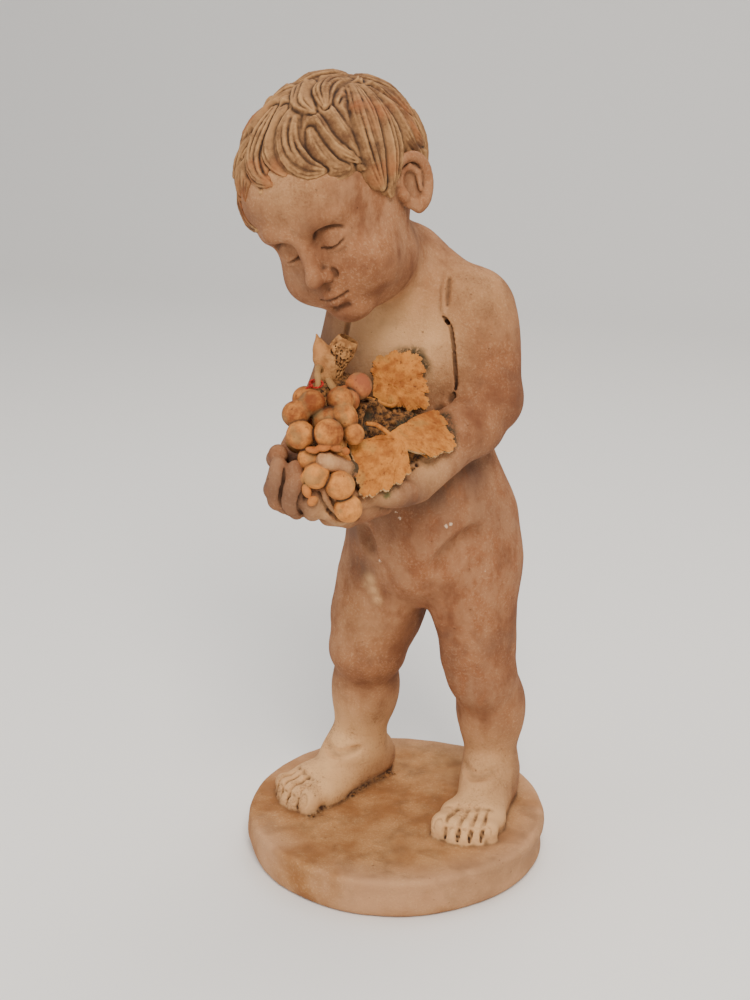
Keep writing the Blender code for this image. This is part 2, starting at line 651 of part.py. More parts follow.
def make_base(material):
    """The round slab: a turned disc, undercut towards the floor, its upper edge rounded."""
    radius = BASE_DIAMETER / 2
    form = bmesh.new()
    bmesh.ops.create_cone(form, cap_ends=True, segments=48, radius1=radius - BASE_UNDERCUT, radius2=radius,
                          depth=BASE_THICKNESS, matrix=Matrix.Translation((0, 0, BASE_THICKNESS / 2)))
    rim = [edge for edge in form.edges if min(v.co.z for v in edge.verts) > BASE_THICKNESS / 2]
    bmesh.ops.bevel(form, geom=rim, offset=BASE_EDGE_ROUND, segments=2, profile=0.5, affect="EDGES")
    return form_object("base_disc", form, material)


def make_figure(material, seats, grape_room):
    """The fired piece: the sculpted figure joined to its base, with seats for what it holds."""
    points, quads = figure_clay(CLAY_CELL).skin()
    obj = mesh_object("putto", to_metres(points), quads, material)
    facets = obj.modifiers.new("facets", "DECIMATE")
    facets.ratio = FIGURE_TRIANGLES / (2 * len(quads))
    boolean(obj, "UNION", make_base(material), solver="MANIFOLD")
    for seat in seats + grape_room:
        boolean(obj, "DIFFERENCE", seat, solver="MANIFOLD")
    return obj


def main():
    for obj in list(bpy.data.objects):
        bpy.data.objects.remove(obj)
    body = fired_clay("terracotta", (0.56, 0.33, 0.21))
    orange = fired_clay("orange_clay", (0.66, 0.34, 0.16))
    bark = fired_clay("stub_clay", (0.55, 0.33, 0.18))
    red = fired_clay("red_thread", (0.55, 0.05, 0.04))
    upper = ("vine_leaf_upper", UPPER_LEAF_RIB, UPPER_LEAF, UPPER_TENDRIL, orange)
    lower = ("vine_leaf_lower", LOWER_LEAF_RIB, LOWER_LEAF, LOWER_TENDRIL, orange)
    make_leaf(*upper)
    make_leaf(*lower)
    make_stub(bark)
    thread_ring("thread_tie", red)
    leaf_room = leaf_seats(*upper) + leaf_seats(*lower)
    stub_room = stub("vine_stub_seat", bark, FIT_GAP)
    make_bunch(orange, leaf_room + [stub_room, thread_ring("thread_seat", red, FIT_GAP)])
    grape_room = [grape_balls(f"grape_{n}_seat", GRAPES[n:n + 1], orange, FIT_GAP) for n in range(len(GRAPES))]
    stalk_room = [stalk(f"stalk_{n}_seat", n, orange, FIT_GAP) for n in range(len(STALKS))]
    make_figure(body, leaf_room + stalk_room + [stub_room], grape_room)


main()
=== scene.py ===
"""A terracotta putto that holds clay grapes and vine leaves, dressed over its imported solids.

The figure is sculpted as a block of clay: numpy arrays hold the distance to its skin, and simple shapes are
blended onto them or cut away, as a modeller adds pellets and draws a tool through them. Its places are in
pose units, thousandths of a metre, with heights counted from the top of the base.
"""

import json

import bpy
import numpy as np
from mathutils import Euler, Matrix, Vector

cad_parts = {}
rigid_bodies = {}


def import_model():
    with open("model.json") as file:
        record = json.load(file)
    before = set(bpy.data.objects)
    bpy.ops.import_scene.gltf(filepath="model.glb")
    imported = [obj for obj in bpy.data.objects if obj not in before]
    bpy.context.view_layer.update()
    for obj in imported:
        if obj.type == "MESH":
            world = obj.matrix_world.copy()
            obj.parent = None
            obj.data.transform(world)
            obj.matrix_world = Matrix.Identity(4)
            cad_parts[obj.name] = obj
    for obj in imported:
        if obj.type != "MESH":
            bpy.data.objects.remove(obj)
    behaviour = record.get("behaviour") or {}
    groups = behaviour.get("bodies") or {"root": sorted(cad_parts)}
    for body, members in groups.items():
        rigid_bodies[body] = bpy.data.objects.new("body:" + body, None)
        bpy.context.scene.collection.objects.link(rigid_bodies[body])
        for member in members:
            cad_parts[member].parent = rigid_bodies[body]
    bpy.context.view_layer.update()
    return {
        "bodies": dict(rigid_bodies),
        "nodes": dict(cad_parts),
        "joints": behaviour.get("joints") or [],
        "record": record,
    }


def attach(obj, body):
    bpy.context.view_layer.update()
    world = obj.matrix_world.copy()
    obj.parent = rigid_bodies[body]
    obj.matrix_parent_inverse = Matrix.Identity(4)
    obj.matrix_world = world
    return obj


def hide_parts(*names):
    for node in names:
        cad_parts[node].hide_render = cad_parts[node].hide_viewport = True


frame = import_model()


# The view: a camera on the photograph's line of sight, 22 degrees round to the figure's left and 18 degrees
# down, a pale floor that curves up far behind, and soft studio light from the camera's side.
VIEW_ROUND = np.radians(22.0)
VIEW_DOWN = np.radians(18.01)
VIEW_AWAY = 1.0982
VIEW_ASIDE = -0.0172
VIEW_HEIGHT = 0.6524
LENS_PER_FRAME_HEIGHT = 1.5

camera = bpy.data.objects.new("camera", bpy.data.cameras.new("camera"))
camera.data.sensor_fit = "VERTICAL"
camera.data.sensor_height = 36.0
camera.data.lens = LENS_PER_FRAME_HEIGHT * camera.data.sensor_height
camera.location = (np.cos(VIEW_ROUND) * VIEW_ASIDE + np.sin(VIEW_ROUND) * VIEW_AWAY,
                   np.sin(VIEW_ROUND) * VIEW_ASIDE - np.cos(VIEW_ROUND) * VIEW_AWAY, VIEW_HEIGHT)
camera.rotation_euler = (np.pi / 2 - VIEW_DOWN, 0.0, VIEW_ROUND)
bpy.context.scene.collection.objects.link(camera)
bpy.context.scene.camera = camera


def linear(red, green, blue):
    """A screen colour, 0 to 255, as the linear colour that a shader takes."""
    share = np.array((red, green, blue)) / 255.0
    return (*np.where(share > 0.04045, ((share + 0.055) / 1.055) ** 2.4, share / 12.92), 1.0)


class Shade:
    """A shader socket in an expression: arithmetic on it adds Math nodes to its material."""

    def __init__(self, tree, link=None):
        self.tree = tree
        self.link = link

    def node(self, kind, settings, sockets, out=0):
        """Adds a node: its settings first, then the values or links of its sockets, and gives one
        output."""
        made = self.tree.nodes.new(kind)
        for name, value in settings.items():
            setattr(made, name, value)
        for name, value in sockets.items():
            if isinstance(value, Shade):
                self.tree.links.new(value.link, made.inputs[name])
            else:
                made.inputs[name].default_value = value
        return Shade(self.tree, made.outputs[out])

    def math(self, operation, one, other=0.0, clamp=False):
        return self.node("ShaderNodeMath", {"operation": operation, "use_clamp": clamp}, {0: one, 1: other})

    def __add__(self, other):
        return self.math("ADD", self, other)

    def __radd__(self, other):
        return self.math("ADD", other, self)

    def __sub__(self, other):
        return self.math("SUBTRACT", self, other)

    def __mul__(self, other):
        return self.math("MULTIPLY", self, other)

    def __rmul__(self, other):
        return self.math("MULTIPLY", other, self)

    def step(self, low, high):
        """0 below low, 1 above high, with a smooth ramp between; low above high turns it round."""
        return self.node("ShaderNodeMapRange", {"interpolation_type": "SMOOTHSTEP"},
                         {"Value": self, "From Min": low, "From Max": high})

    def place(self):
        """The place on the piece in its own axes, from one node that the whole material shares."""
        source = self.tree.nodes.get("place") or self.tree.nodes.new("ShaderNodeTexCoord")
        source.name = "place"
        return Shade(self.tree, source.outputs["Object"])

    def noise(self, scale, detail=4.0, rough=0.55, stretch=(1.0, 1.0, 1.0)):
        """Cloudy noise from 0 to 1, over the place multiplied by stretch."""
        place = self.node("ShaderNodeVectorMath", {"operation": "MULTIPLY"}, {0: self.place(), 1: stretch})
        return self.node("ShaderNodeTexNoise", {},
                         {"Vector": place, "Scale": scale, "Detail": detail, "Roughness": rough})

    def painted(self, name):
        """A mask that was worked out for each point of the mesh."""
        return self.node("ShaderNodeAttribute", {"attribute_name": name}, {}, out="Fac")

    def colour(self, share, one, other):
        """From one colour to another by a share."""
        return self.node("ShaderNodeMix", {"data_type": "RGBA"}, {0: share, 6: one, 7: other}, out=2)

    def coated(self, *layers):
        """This colour with others over it in turn, each a share and a screen colour."""
        under = self
        for share, *tint in layers:
            under = self.colour(share, under, linear(*tint))
        return under


def dry_material(name, level=0.25):
    """A Principled material with a weak, flat gloss; gives the material, its shader and a Shade to build
    with."""
    material = bpy.data.materials.new(name)
    material.use_nodes = True
    shader = material.node_tree.nodes["Principled BSDF"]
    shader.inputs["Specular IOR Level"].default_value = level
    return material, shader, Shade(material.node_tree)


def finish_surface(shader, shade, colour, roughness, height, depth):
    """Joins colour, roughness and a bump of the given depth in metres to the shader."""
    bump = shade.node("ShaderNodeBump", {}, {"Height": height, "Distance": depth, "Strength": 1.0})
    for name, value in (("Base Color", colour), ("Roughness", roughness), ("Normal", bump)):
        shade.tree.links.new(value.link, shader.inputs[name])


def grid_faces(rows, columns, closed=True):
    """Quads over a grid of points, row by row, whose last column joins its first where it is closed."""
    index = np.arange(rows * columns).reshape(rows, columns)
    if closed:
        index = np.concatenate([index, index[:, :1]], axis=1)
    return np.stack([index[:-1, :-1], index[:-1, 1:], index[1:, 1:], index[1:, :-1]], -1).reshape(-1, 4)


def quad_mesh(name, points, faces):
    """A smooth-shaded mesh from arrays of points and of faces with the same number of corners."""
    mesh = bpy.data.meshes.new(name)
    mesh.vertices.add(len(points))
    mesh.vertices.foreach_set("co", np.ascontiguousarray(points, np.float32).reshape(-1))
    mesh.loops.add(faces.size)
    mesh.loops.foreach_set("vertex_index", np.ascontiguousarray(faces, np.int32).reshape(-1))
    mesh.polygons.add(len(faces))
    mesh.polygons.foreach_set("loop_start", np.arange(0, faces.size, faces.shape[1], dtype=np.int32))
    mesh.update(calc_edges=True)
    mesh.validate()
    mesh.shade_smooth()
    return mesh


def place_piece(name, mesh, material):
    """An object in the scene with one material."""
    mesh.materials.clear()
    mesh.materials.append(material)
    piece = bpy.data.objects.new(name, mesh)
    bpy.context.scene.collection.objects.link(piece)
    return piece


def soft_panel(name, place, size, power, colour):
    """A square soft light that faces the figure's middle."""
    light = bpy.data.objects.new(name, bpy.data.lights.new(name, "AREA"))
    light.data.shape = "SQUARE"
    light.data.size = size
    light.data.energy = power
    light.data.color = colour
    light.location = place
    light.rotation_euler = (Vector((0.0, 0.0, 0.3)) - Vector(place)).to_track_quat("-Z", "Y").to_euler()
    bpy.context.scene.collection.objects.link(light)


soft_panel("key", (0.9, -1.7, 2.2), 0.9, 74.0, (1.0, 0.95, 0.88))
soft_panel("fill", (-1.8, -1.6, 0.8), 1.6, 16.0, (0.93, 0.96, 1.0))
soft_panel("top", (0.1, 0.9, 2.3), 1.4, 24.0, (1.0, 0.98, 0.95))
world = bpy.data.worlds.new("room")
world.use_nodes = True
world.node_tree.nodes["Background"].inputs["Color"].default_value = (0.94, 0.96, 1.0, 1.0)
world.node_tree.nodes["Background"].inputs["Strength"].default_value = 0.72
bpy.context.scene.world = world

# The floor is a sheet that runs level and then curves up: its profile is a straight run and a quarter
# circle.
FLOOR_BACK = 2.2
FLOOR_CURVE = 1.2
along = np.linspace(-4.0, FLOOR_BACK, 12)
turn = np.linspace(0.0, np.pi / 2, 24)[1:]
profile = np.concatenate([
    np.stack([along, 0 * along], 1),
    np.stack([FLOOR_BACK + FLOOR_CURVE * np.sin(turn), FLOOR_CURVE * (1 - np.cos(turn))], 1),
    [[FLOOR_BACK + FLOOR_CURVE, 5.0]],
])
width = np.linspace(-5.0, 5.0, 3)
sheet = np.zeros((len(width), len(profile), 3))
sheet[..., 0] = width[:, None]
sheet[..., 1:] = profile
floor_material, floor_shader, _ = dry_material("pale_floor")
floor_shader.inputs["Base Color"].default_value = linear(236, 232, 226)
floor_shader.inputs["Roughness"].default_value = 0.9
floor_faces = grid_faces(len(width), len(profile), closed=False)
floor = place_piece("floor", quad_mesh("floor", sheet.reshape(-1, 3), floor_faces), floor_material)


# The clay that figure, hair, bunch and stub are sculpted in. A block is a grid of distances to the skin,
# negative inside; its lines stand closer where the work is finer. Each point remembers the kind of clay
# laid there last.
UNIT = 0.001
BASE_THICK = 0.033
FAR = 60.0
MARGIN = 3.0
RAY_START = 40.0
RAY_REACH = 70.0
RAY_STEP = 0.4
JUST_INSIDE = -0.1
BODY, BED, SLAB, CRUMB, STALK, SHARD = range(6)


def through(points, count):
    """A smooth run through a few points: cubic pieces whose slope at a point is half the way between the
    points on either side."""
    points = np.array(points, float)
    slope = np.gradient(points, axis=0)
    place = np.linspace(0, len(points) - 1, count)
    cell = np.minimum(place.astype(int), len(points) - 2)
    t = (place - cell)[:, None]
    a, b, m, n = points[cell], points[cell + 1], slope[cell], slope[cell + 1]
    start = (2 * t**3 - 3 * t**2 + 1) * a + (t**3 - 2 * t**2 + t) * m
    return start + (3 * t**2 - 2 * t**3) * b + (t**3 - t**2) * n


class Clay:
    """Distances to the skin on a grid of lines, with simple shapes blended on or cut away."""

    def __init__(self, axes):
        self.axes = axes
        self.field = np.full([len(axis) for axis in axes], FAR, np.float32)
        self.kind = np.zeros(self.field.shape, np.int8)
        self.laying = BODY
        self.frame = Matrix.Identity(4)

    def window(self, points, reach):
        """The part of the grid within reach of the points, with its three coordinates."""
        points = np.array(points, float)
        slices = []
        for axis, low, high in zip(self.axes, points.min(0) - reach, points.max(0) + reach):
            slices.append(slice(max(np.searchsorted(axis, low) - 1, 0), np.searchsorted(axis, high) + 1))
        lines = [axis[part] for axis, part in zip(self.axes, slices)]
        return tuple(slices), np.meshgrid(*lines, indexing="ij", sparse=True)

    def blend(self, slices, distance, soft, cut):
        """Joins a shape on, or cuts it away. The fillet is the quarter of soft times the square of how far
        the two distances are from being soft apart."""
        old = self.field[slices]
        if 0 in old.shape:
            return
        sign = -1.0 if cut else 1.0
        fillet = np.maximum(soft - np.abs(sign * old - distance), 0.0) / soft
        if not cut:
            self.kind[slices][distance < old] = self.laying
        self.field[slices] = sign * (np.minimum(sign * old, distance) - fillet * fillet * soft / 4.0)

    def egg(self, centre, radii, soft=8.0, turn=(0, 0, 0), cut=False):
        """An ellipsoid: the length of the point over the radii, scaled back to a distance."""
        size = self.frame.to_scale()[0]
        place = self.frame @ Matrix.Translation(centre) @ Euler(np.radians(turn)).to_matrix().to_4x4()
        slices, grid = self.window([place.translation], (max(radii) + soft) * size + MARGIN)
        back = place.inverted()
        local = [sum(back[k][n] * grid[n] for n in range(3)) + back[k][3] for k in range(3)]
        over = np.sqrt(sum((q / r) ** 2 for q, r in zip(local, radii)))
        slope = np.sqrt(sum((q / r**2) ** 2 for q, r in zip(local, radii)))
        self.blend(slices, size * over * (over - 1.0) / np.maximum(slope, 1e-6), soft * size, cut)

    def limb(self, start, end, thick, thin, soft=8.0, cut=False):
        """A round bar whose radius runs from thick to thin: the distance to its middle line less the
        radius."""
        a, b = (np.array(self.frame @ Vector(p)) for p in (start, end))
        size = self.frame.to_scale()[0]
        thick, thin, soft = thick * size, thin * size, soft * size
        slices, grid = self.window([a, b], max(thick, thin) + soft + MARGIN)
        along = b - a
        share = sum((grid[k] - a[k]) * along[k] for k in range(3)) / (along @ along)
        share = np.clip(share, 0.0, 1.0)
        off = [grid[k] - a[k] - share * along[k] for k in range(3)]
        distance = np.sqrt(sum(q * q for q in off)) - thick - (thin - thick) * share
        self.blend(slices, distance, soft, cut)

    def strip(self, path, radii, soft=8.0, cut=False):
        """Bars end to end along a path."""
        for n in range(len(path) - 1):
            self.limb(path[n], path[n + 1], radii[n], radii[n + 1], soft, cut)

    def lay(self, *forms):
        """Lays forms on in order: an egg by its centre, radii, fillet and turn, a bar by its ends, radii
        and fillet."""
        for form in forms:
            (self.limb if len(form) == 5 else self.egg)(*form)

    def touch(self, points, toward, reach=RAY_REACH):
        """Where rays from the points, all going one way, first meet the clay, and which of them start
        outside it and do."""
        way = np.arange(0, reach, RAY_STEP)
        samples = np.asarray(points)[:, None] + np.asarray(toward) * way[:, None]
        inside = self.read(self.field, samples.reshape(-1, 3)).reshape(len(points), -1) < 0
        return samples[np.arange(len(points)), inside.argmax(1)], inside.any(1) & ~inside[:, 0]

    def draw(self, path, toward, radii, soft=0.8, cut=True, sink=0.0):
        """Draws a tool through the clay, or lays a thread of clay on it, along a path that is pressed onto
        the skin from one side; sink moves it further in."""
        count = 4 * len(path)
        toward = np.array(self.frame.to_3x3() @ Vector(toward))
        toward /= np.linalg.norm(toward)
        path = through([self.frame @ Vector(p) for p in path], count)
        radii = np.interp(np.linspace(0, 1, count), np.linspace(0, 1, len(radii)), radii)
        path, met = self.touch(path - RAY_START * toward, toward)
        frame, self.frame = self.frame, Matrix.Identity(4)
        self.strip((path + sink * toward)[met], radii[met], soft, cut)
        self.frame = frame

    def swell(self, size, seed, slices=(slice(None),) * 3):
        """Smooth random rises from -1 to 1: values on a lattice of the given size, carried between its
        points along each axis in turn by a smooth step."""
        weights = []
        for axis, part in zip(self.axes, slices):
            place = (axis[part] - axis[0]) / size
            cell = place.astype(int)
            share = place - cell
            share = share * share * (3 - 2 * share)
            weight = np.zeros((len(place), int((axis[-1] - axis[0]) / size) + 3), np.float32)
            weight[np.arange(len(place)), cell] = 1 - share
            weight[np.arange(len(place)), cell + 1] = share
            weights.append(weight)
        lattice = np.random.default_rng(seed).uniform(-1, 1, [weight.shape[1] for weight in weights])
        lattice = lattice.astype(np.float32)
        for weight in weights:
            lattice = np.tensordot(lattice, weight, (0, 1))
        return lattice

    def fill_diagonals(self):
        """Fills a corner of each grid square whose inside corners lie across from each other, so that no
        two sheets of the skin share an edge."""
        found = 1
        while found:
            found = 0
            for pair in ((0, 1), (1, 2), (2, 0)):
                field = np.moveaxis(self.field, pair, (0, 1))
                inside = field < 0
                a, b, c, d = inside[:-1, :-1], inside[1:, :-1], inside[:-1, 1:], inside[1:, 1:]
                one, two = a & d & ~b & ~c, b & c & ~a & ~d
                field[1:, :-1][one] = field[:-1, :-1][two] = JUST_INSIDE
                found += one.sum() + two.sum()

    def skin(self):
        """Vertices and quads of the surface: one vertex in each cell that the skin crosses, the mean of the
        crossings on its edges, and one quad round each crossed edge."""
        self.fill_diagonals()
        field = self.field
        inside = field < 0
        steps = np.array([field.shape[1] * field.shape[2], field.shape[2], 1])
        cells, points, outward = [], [], []
        for axis in range(3):
            low = [slice(1, -1)] * 3
            high = list(low)
            low[axis], high[axis] = slice(1, -2), slice(2, -1)
            crossed = np.argwhere(inside[tuple(low)] != inside[tuple(high)]) + 1
            index = crossed @ steps
            near = field.reshape(-1)[index]
            far = field.reshape(-1)[index + steps[axis]]
            point = np.stack([line[crossed[:, k]] for k, line in enumerate(self.axes)], 1)
            line = self.axes[axis]
            step = line[crossed[:, axis] + 1] - line[crossed[:, axis]]
            point[:, axis] += step * near / (near - far)
            one, two = steps[(axis + 1) % 3], steps[(axis + 2) % 3]
            cells.append(np.stack([index, index - one, index - one - two, index - two], 1))
            points.append(point)
            outward.append(near < 0)
        _, quads = np.unique(np.concatenate(cells), return_inverse=True)
        quads = quads.reshape(-1, 4)
        count = np.bincount(quads.reshape(-1))
        weights = np.repeat(np.concatenate(points), 4, axis=0)
        mean = [np.bincount(quads.reshape(-1), weights[:, k]) / count for k in range(3)]
        quads = np.where(np.concatenate(outward)[:, None], quads, quads[:, ::-1])
        return np.stack(mean, 1), quads

    def read(self, grid, points):
        """A grid's values at points, as the weighted mean of the eight corners round each."""
        cells, shares = [], []
        for k, axis in enumerate(self.axes):
            cell = np.clip(np.searchsorted(axis, points[:, k]) - 1, 0, len(axis) - 2)
            cells.append(cell)
            shares.append(np.clip((points[:, k] - axis[cell]) / (axis[cell + 1] - axis[cell]), 0, 1))
        total = np.zeros(len(points))
        for corner in range(8):
            bits = [corner >> k & 1 for k in range(3)]
            weight = np.prod([s if bit else 1 - s for s, bit in zip(shares, bits)], axis=0)
            total += weight * grid[tuple(cell + bit for cell, bit in zip(cells, bits))]
        return total

    def sunken(self, points, reach):
        """How hollow the form is round each point: the share of clay in a cube of the given reach, 0.5 on a
        flat skin, more in a hollow and less on a ridge. It is a mean by running sums along each axis."""
        share = (self.field < 0).astype(np.float32)
        for axis, lines in enumerate(self.axes):
            half = max(1, int(round(reach / np.diff(lines).mean())))
            sums = np.cumsum(np.moveaxis(share, axis, 0), axis=0, dtype=np.float32)
            high = np.minimum(np.arange(len(lines)) + half, len(lines) - 1)
            low = np.maximum(np.arange(len(lines)) - half - 1, 0)
            share = np.moveaxis((sums[high] - sums[low]) / (2 * half + 1), 0, axis)
        return self.read(share, points)


def clay_round(points, margin, step):
    """An empty block that holds the points and a margin round them."""
    corners = np.array(points, float)
    corners = zip(corners.min(0) - margin, corners.max(0) + margin)
    return Clay([np.arange(low, high, step, dtype=np.float32) for low, high in corners])


def to_metres(points):
    """Pose units over the base's top to metres over its underside."""
    return np.asarray(points) * UNIT + (0.0, 0.0, BASE_THICK)


def to_pose(mesh):
    """A mesh's points in pose units."""
    points = np.empty(len(mesh.vertices) * 3, np.float32)
    mesh.vertices.foreach_get("co", points)
    return (points.reshape(-1, 3) - (0.0, 0.0, BASE_THICK)) / UNIT


def thinned(mesh, most):
    """The mesh with its flatter parts drawn with fewer triangles, down to the most that it may have."""
    piece = bpy.data.objects.new("thinned", mesh)
    bpy.context.scene.collection.objects.link(piece)
    step = piece.modifiers.new("thin", "DECIMATE")
    step.ratio = min(1.0, most / (2 * len(mesh.polygons)))
    graph = bpy.context.evaluated_depsgraph_get()
    result = bpy.data.meshes.new_from_object(piece.evaluated_get(graph))
    bpy.data.objects.remove(piece)
    result.shade_smooth()
    return result


def skin_mesh(name, clay, most):
    """The clay's skin as a mesh with up to the given number of triangles, and its points in pose units."""
    points, quads = clay.skin()
    mesh = thinned(quad_mesh(name, to_metres(points), quads), most)
    return mesh, to_pose(mesh)


def paint(mesh, name, values):
    """Keeps a mask with the mesh, one value for each point."""
    layer = mesh.attributes.new(name, "FLOAT", "POINT")
    layer.data.foreach_set("value", np.clip(values, 0, 1).astype(np.float32))


def near_spots(points, spots):
    """A mask from spots (x, y, z, reach, strength): the strongest of their bell curves at each point."""
    mask = np.zeros(len(points))
    for x, y, z, reach, strength in spots:
        away = ((points - (x, y, z)) ** 2).sum(1) / reach**2
        mask = np.maximum(mask, strength * np.exp(-away))
    return mask


# The figure: a nude child who stands on the left leg and bows the head over the cupped hands. Hollow
# terracotta, built up by hand with pellets and coils, joined to its slab while wet, fired, and toned with
# pale slip.
def model_torso(clay):
    """Pelvis, belly, ribs, chest, back, shoulders and neck."""
    clay.lay(
        ((21, 26, 214), (63, 46, 46), 8),
        ((-9, 46, 201), (35, 32, 37), 9),
        ((49, 50, 199), (35, 32, 37), 9),
        ((20, 4, 238), (56, 41, 40), 18),
        ((57, 28, 242), (31, 33, 46), 18),
        ((-18, 27, 246), (29, 33, 44), 18),
        ((17, 3, 276), (52, 46, 52), 20),
        ((16, 32, 290), (47, 33, 56), 24),
        ((11, 18, 345), (48, 38, 66), 24),
        ((-13, -5, 380), (27, 15, 22), 20),
        ((33, -3, 380), (27, 15, 22), 20),
        ((-26, 16, 408), (52, 20, 408), 24, 24, 18),
        ((3, 18, 425), (-18, -12, 462), 31, 32, 24),
        ((6, 24, 446), (48, 22, 420), 17, 17, 20),
        ((0, 22, 446), (-28, 18, 418), 17, 17, 20),
        ((-17, 44, 373), (20, 13, 28), 12, (0, 12, 0)),
        ((43, 46, 370), (20, 13, 28), 12, (0, -12, 0)),
    )


# The ways that a tool is pressed in: along the view, from behind, from the front and from above
LOOK = (-np.sin(VIEW_ROUND) * np.cos(VIEW_DOWN), np.cos(VIEW_ROUND) * np.cos(VIEW_DOWN), -np.sin(VIEW_DOWN))
FROM_BEHIND = (0, -1, 0)
FROM_FRONT = (0, 1, 0)
FROM_ABOVE = (0, 0, -1)
# Lines drawn on the back, then on the front: the path, the tool's radii, the fillet, how far it is sunk and,
# in front, whether it cuts. Behind, they are the cleft, the folds below it and the shoulder blades. In
# front, they are the deep line between left arm and ribs, its notch, a scar of raised clay above it with a
# thin line, the fold of the left armpit, the line beside the right arm and the folds of the hips.
BACK_LINES = (
    ([(20.5, 62, 232), (20.5, 62, 208), (21, 62, 185), (21, 62, 168)], [0.8, 1.8, 2.0, 1.4], 4, 1),
    ([(-34, 60, 172), (-14, 60, 165), (8, 60, 164)], [0.8, 1.8, 1.4], 6, 0),
    ([(76, 60, 170), (56, 60, 163), (33, 60, 163)], [0.8, 1.8, 1.4], 6, 0),
    ([(32, 60, 405), (38, 60, 385), (38, 60, 360), (34, 60, 340)], [0.8, 1.6, 1.6, 0.8], 8, 0),
    ([(-8, 60, 405), (-12, 60, 385), (-12, 60, 360), (-8, 60, 340)], [0.8, 1.6, 1.6, 0.8], 8, 0),
)
ARM_LINE = [(42, -10.5, 407), (45.4, -11.3, 402.6), (48.3, -13.9, 392), (49.9, -15.5, 382.7),
            (50.6, -14.6, 369.8), (50.2, -12.2, 357.7), (47, -16, 348)]
FRONT_LINES = (
    (ARM_LINE, [1.3, 1.4, 1.4, 1.4, 1.35, 1.3, 1.3, 0.9], 0.6, 1.5, True),
    ([(38.8, -10, 410), (43, -10.5, 406)], [1.0, 1.5], 1.0, 0.8, True),
    ([(37.8, 0, 438), (37.9, -4.5, 429), (38.3, -7.3, 420), (39.6, -9.4, 412)],
     [0.7, 1.2, 1.3, 0.9], 2.5, 0.6, False),
    ([(40, 0, 437), (40.3, -4.5, 428), (41, -8, 418)], [0.4, 0.7, 0.6], 2.0, 0, True),
    ([(49, -14, 352), (45, -17, 347), (38, -19, 343)], [0.8, 1.5, 0.6], 4, 0, True),
    ([(-32, -12, 410), (-35, -14, 395), (-36, -16, 378)], [0.8, 1.4, 0.9], 2.0, 0.5, True),
    ([(45, -29, 222), (58.9, -26, 239), (71.4, -13, 249)], [0.4, 1.0, 0.4], 14, 0, True),
    ([(-17, -28, 244), (-13, -27, 230)], [0.4, 0.8], 12, 0, True),
)


def crease_torso(clay):
    """The hollow of the back, the furrow of the spine and the cleft below it; the drawn lines; the gap
    between the thighs, and the plain rise above it."""
    clay.egg((19, 103, 264), (66, 40, 30), soft=28, cut=True)
    spine = [(10, 63, 404), (12, 62, 370), (15, 68, 320), (18, 68, 275)]
    clay.strip(spine, [3, 5, 6, 5], soft=14, cut=True)
    cleft = [(20, 81, 230), (20.5, 87, 205), (21, 85, 182), (21, 70, 166)]
    clay.strip(cleft, [3, 5, 5, 4], soft=8, cut=True)
    for path, radii, soft, sink in BACK_LINES:
        clay.draw(path, FROM_BEHIND, radii, soft, sink=sink)
    for path, radii, soft, sink, cut in FRONT_LINES:
        clay.draw(path, LOOK, radii, soft, cut, sink)
    clay.egg((22, 20, 150), (8, 70, 25), soft=16, cut=True)
    clay.egg((17, -13, 208), (19, 13, 13), soft=18)


def model_legs(clay):
    """The straight left leg that carries the weight, and the relaxed right leg set back and outwards."""
    clay.lay(
        ((52, 25, 208), (63, 26, 122), 38, 26.5, 16),
        ((46, 22, 180), (30, 34, 44), 14),
        ((54, 24, 142), (28, 29, 30), 12),
        ((65, 18, 112), (23, 22, 20), 12),
        ((65, 28, 114), (68.5, 44, 26), 23, 20.5, 9),
        ((68, 40, 83), (27.5, 26.5, 37), 11),
        ((-10, 22, 208), (-27, 12, 132), 38, 29.5, 16),
        ((-3, 18, 184), (31, 34, 44), 14),
        ((-30, 16, 160), (30.5, 31, 38), 12),
        ((-24, 16, 194), (29, 30, 28), 12),
        ((-30, 4, 130), (27, 23, 22), 11),
        ((-31, 15, 120), (-48, 35, 26), 23, 22, 9),
        ((-37, 26, 90), (27.5, 27, 36), 11),
    )


def crease_legs(clay):
    """The folds behind the knees and round the ankles."""
    clay.draw([(-44, 50, 123), (-31, 50, 120), (-18, 50, 123)], FROM_BEHIND, [0.6, 1.6, 0.6], soft=6)
    clay.draw([(53, 50, 117), (65, 50, 114), (78, 50, 117)], FROM_BEHIND, [0.6, 1.6, 0.6], soft=6)
    clay.draw([(-64, 20, 36), (-50, 12, 32), (-34, 20, 36)], (0.2, 1, -0.2), [0.3, 0.8, 0.3], soft=6)
    clay.draw([(52, 30, 36), (66, 22, 32), (82, 30, 36)], (0, 1, -0.2), [0.3, 0.8, 0.3], soft=6)


# Each toe: sideways place of its tip, how far forward it reaches, its radius, sideways place of its root
TOES = (
    (16, -96, 9.0, 14),
    (4.5, -98, 7.2, 3.5),
    (-5, -97, 7.0, -5),
    (-14, -93, 6.8, -13),
    (-22, -87, 6.6, -20),
)
LEFT_FOOT = ((68, 52, 0), 0)
RIGHT_FOOT = ((-42, 47, 0), -23)


def foot_frame(heel, heading):
    """A foot's own frame: its heel's place on the slab, and the degrees that it is turned outwards."""
    return Matrix.Translation(heel) @ Matrix.Rotation(np.radians(heading), 4, "Z")


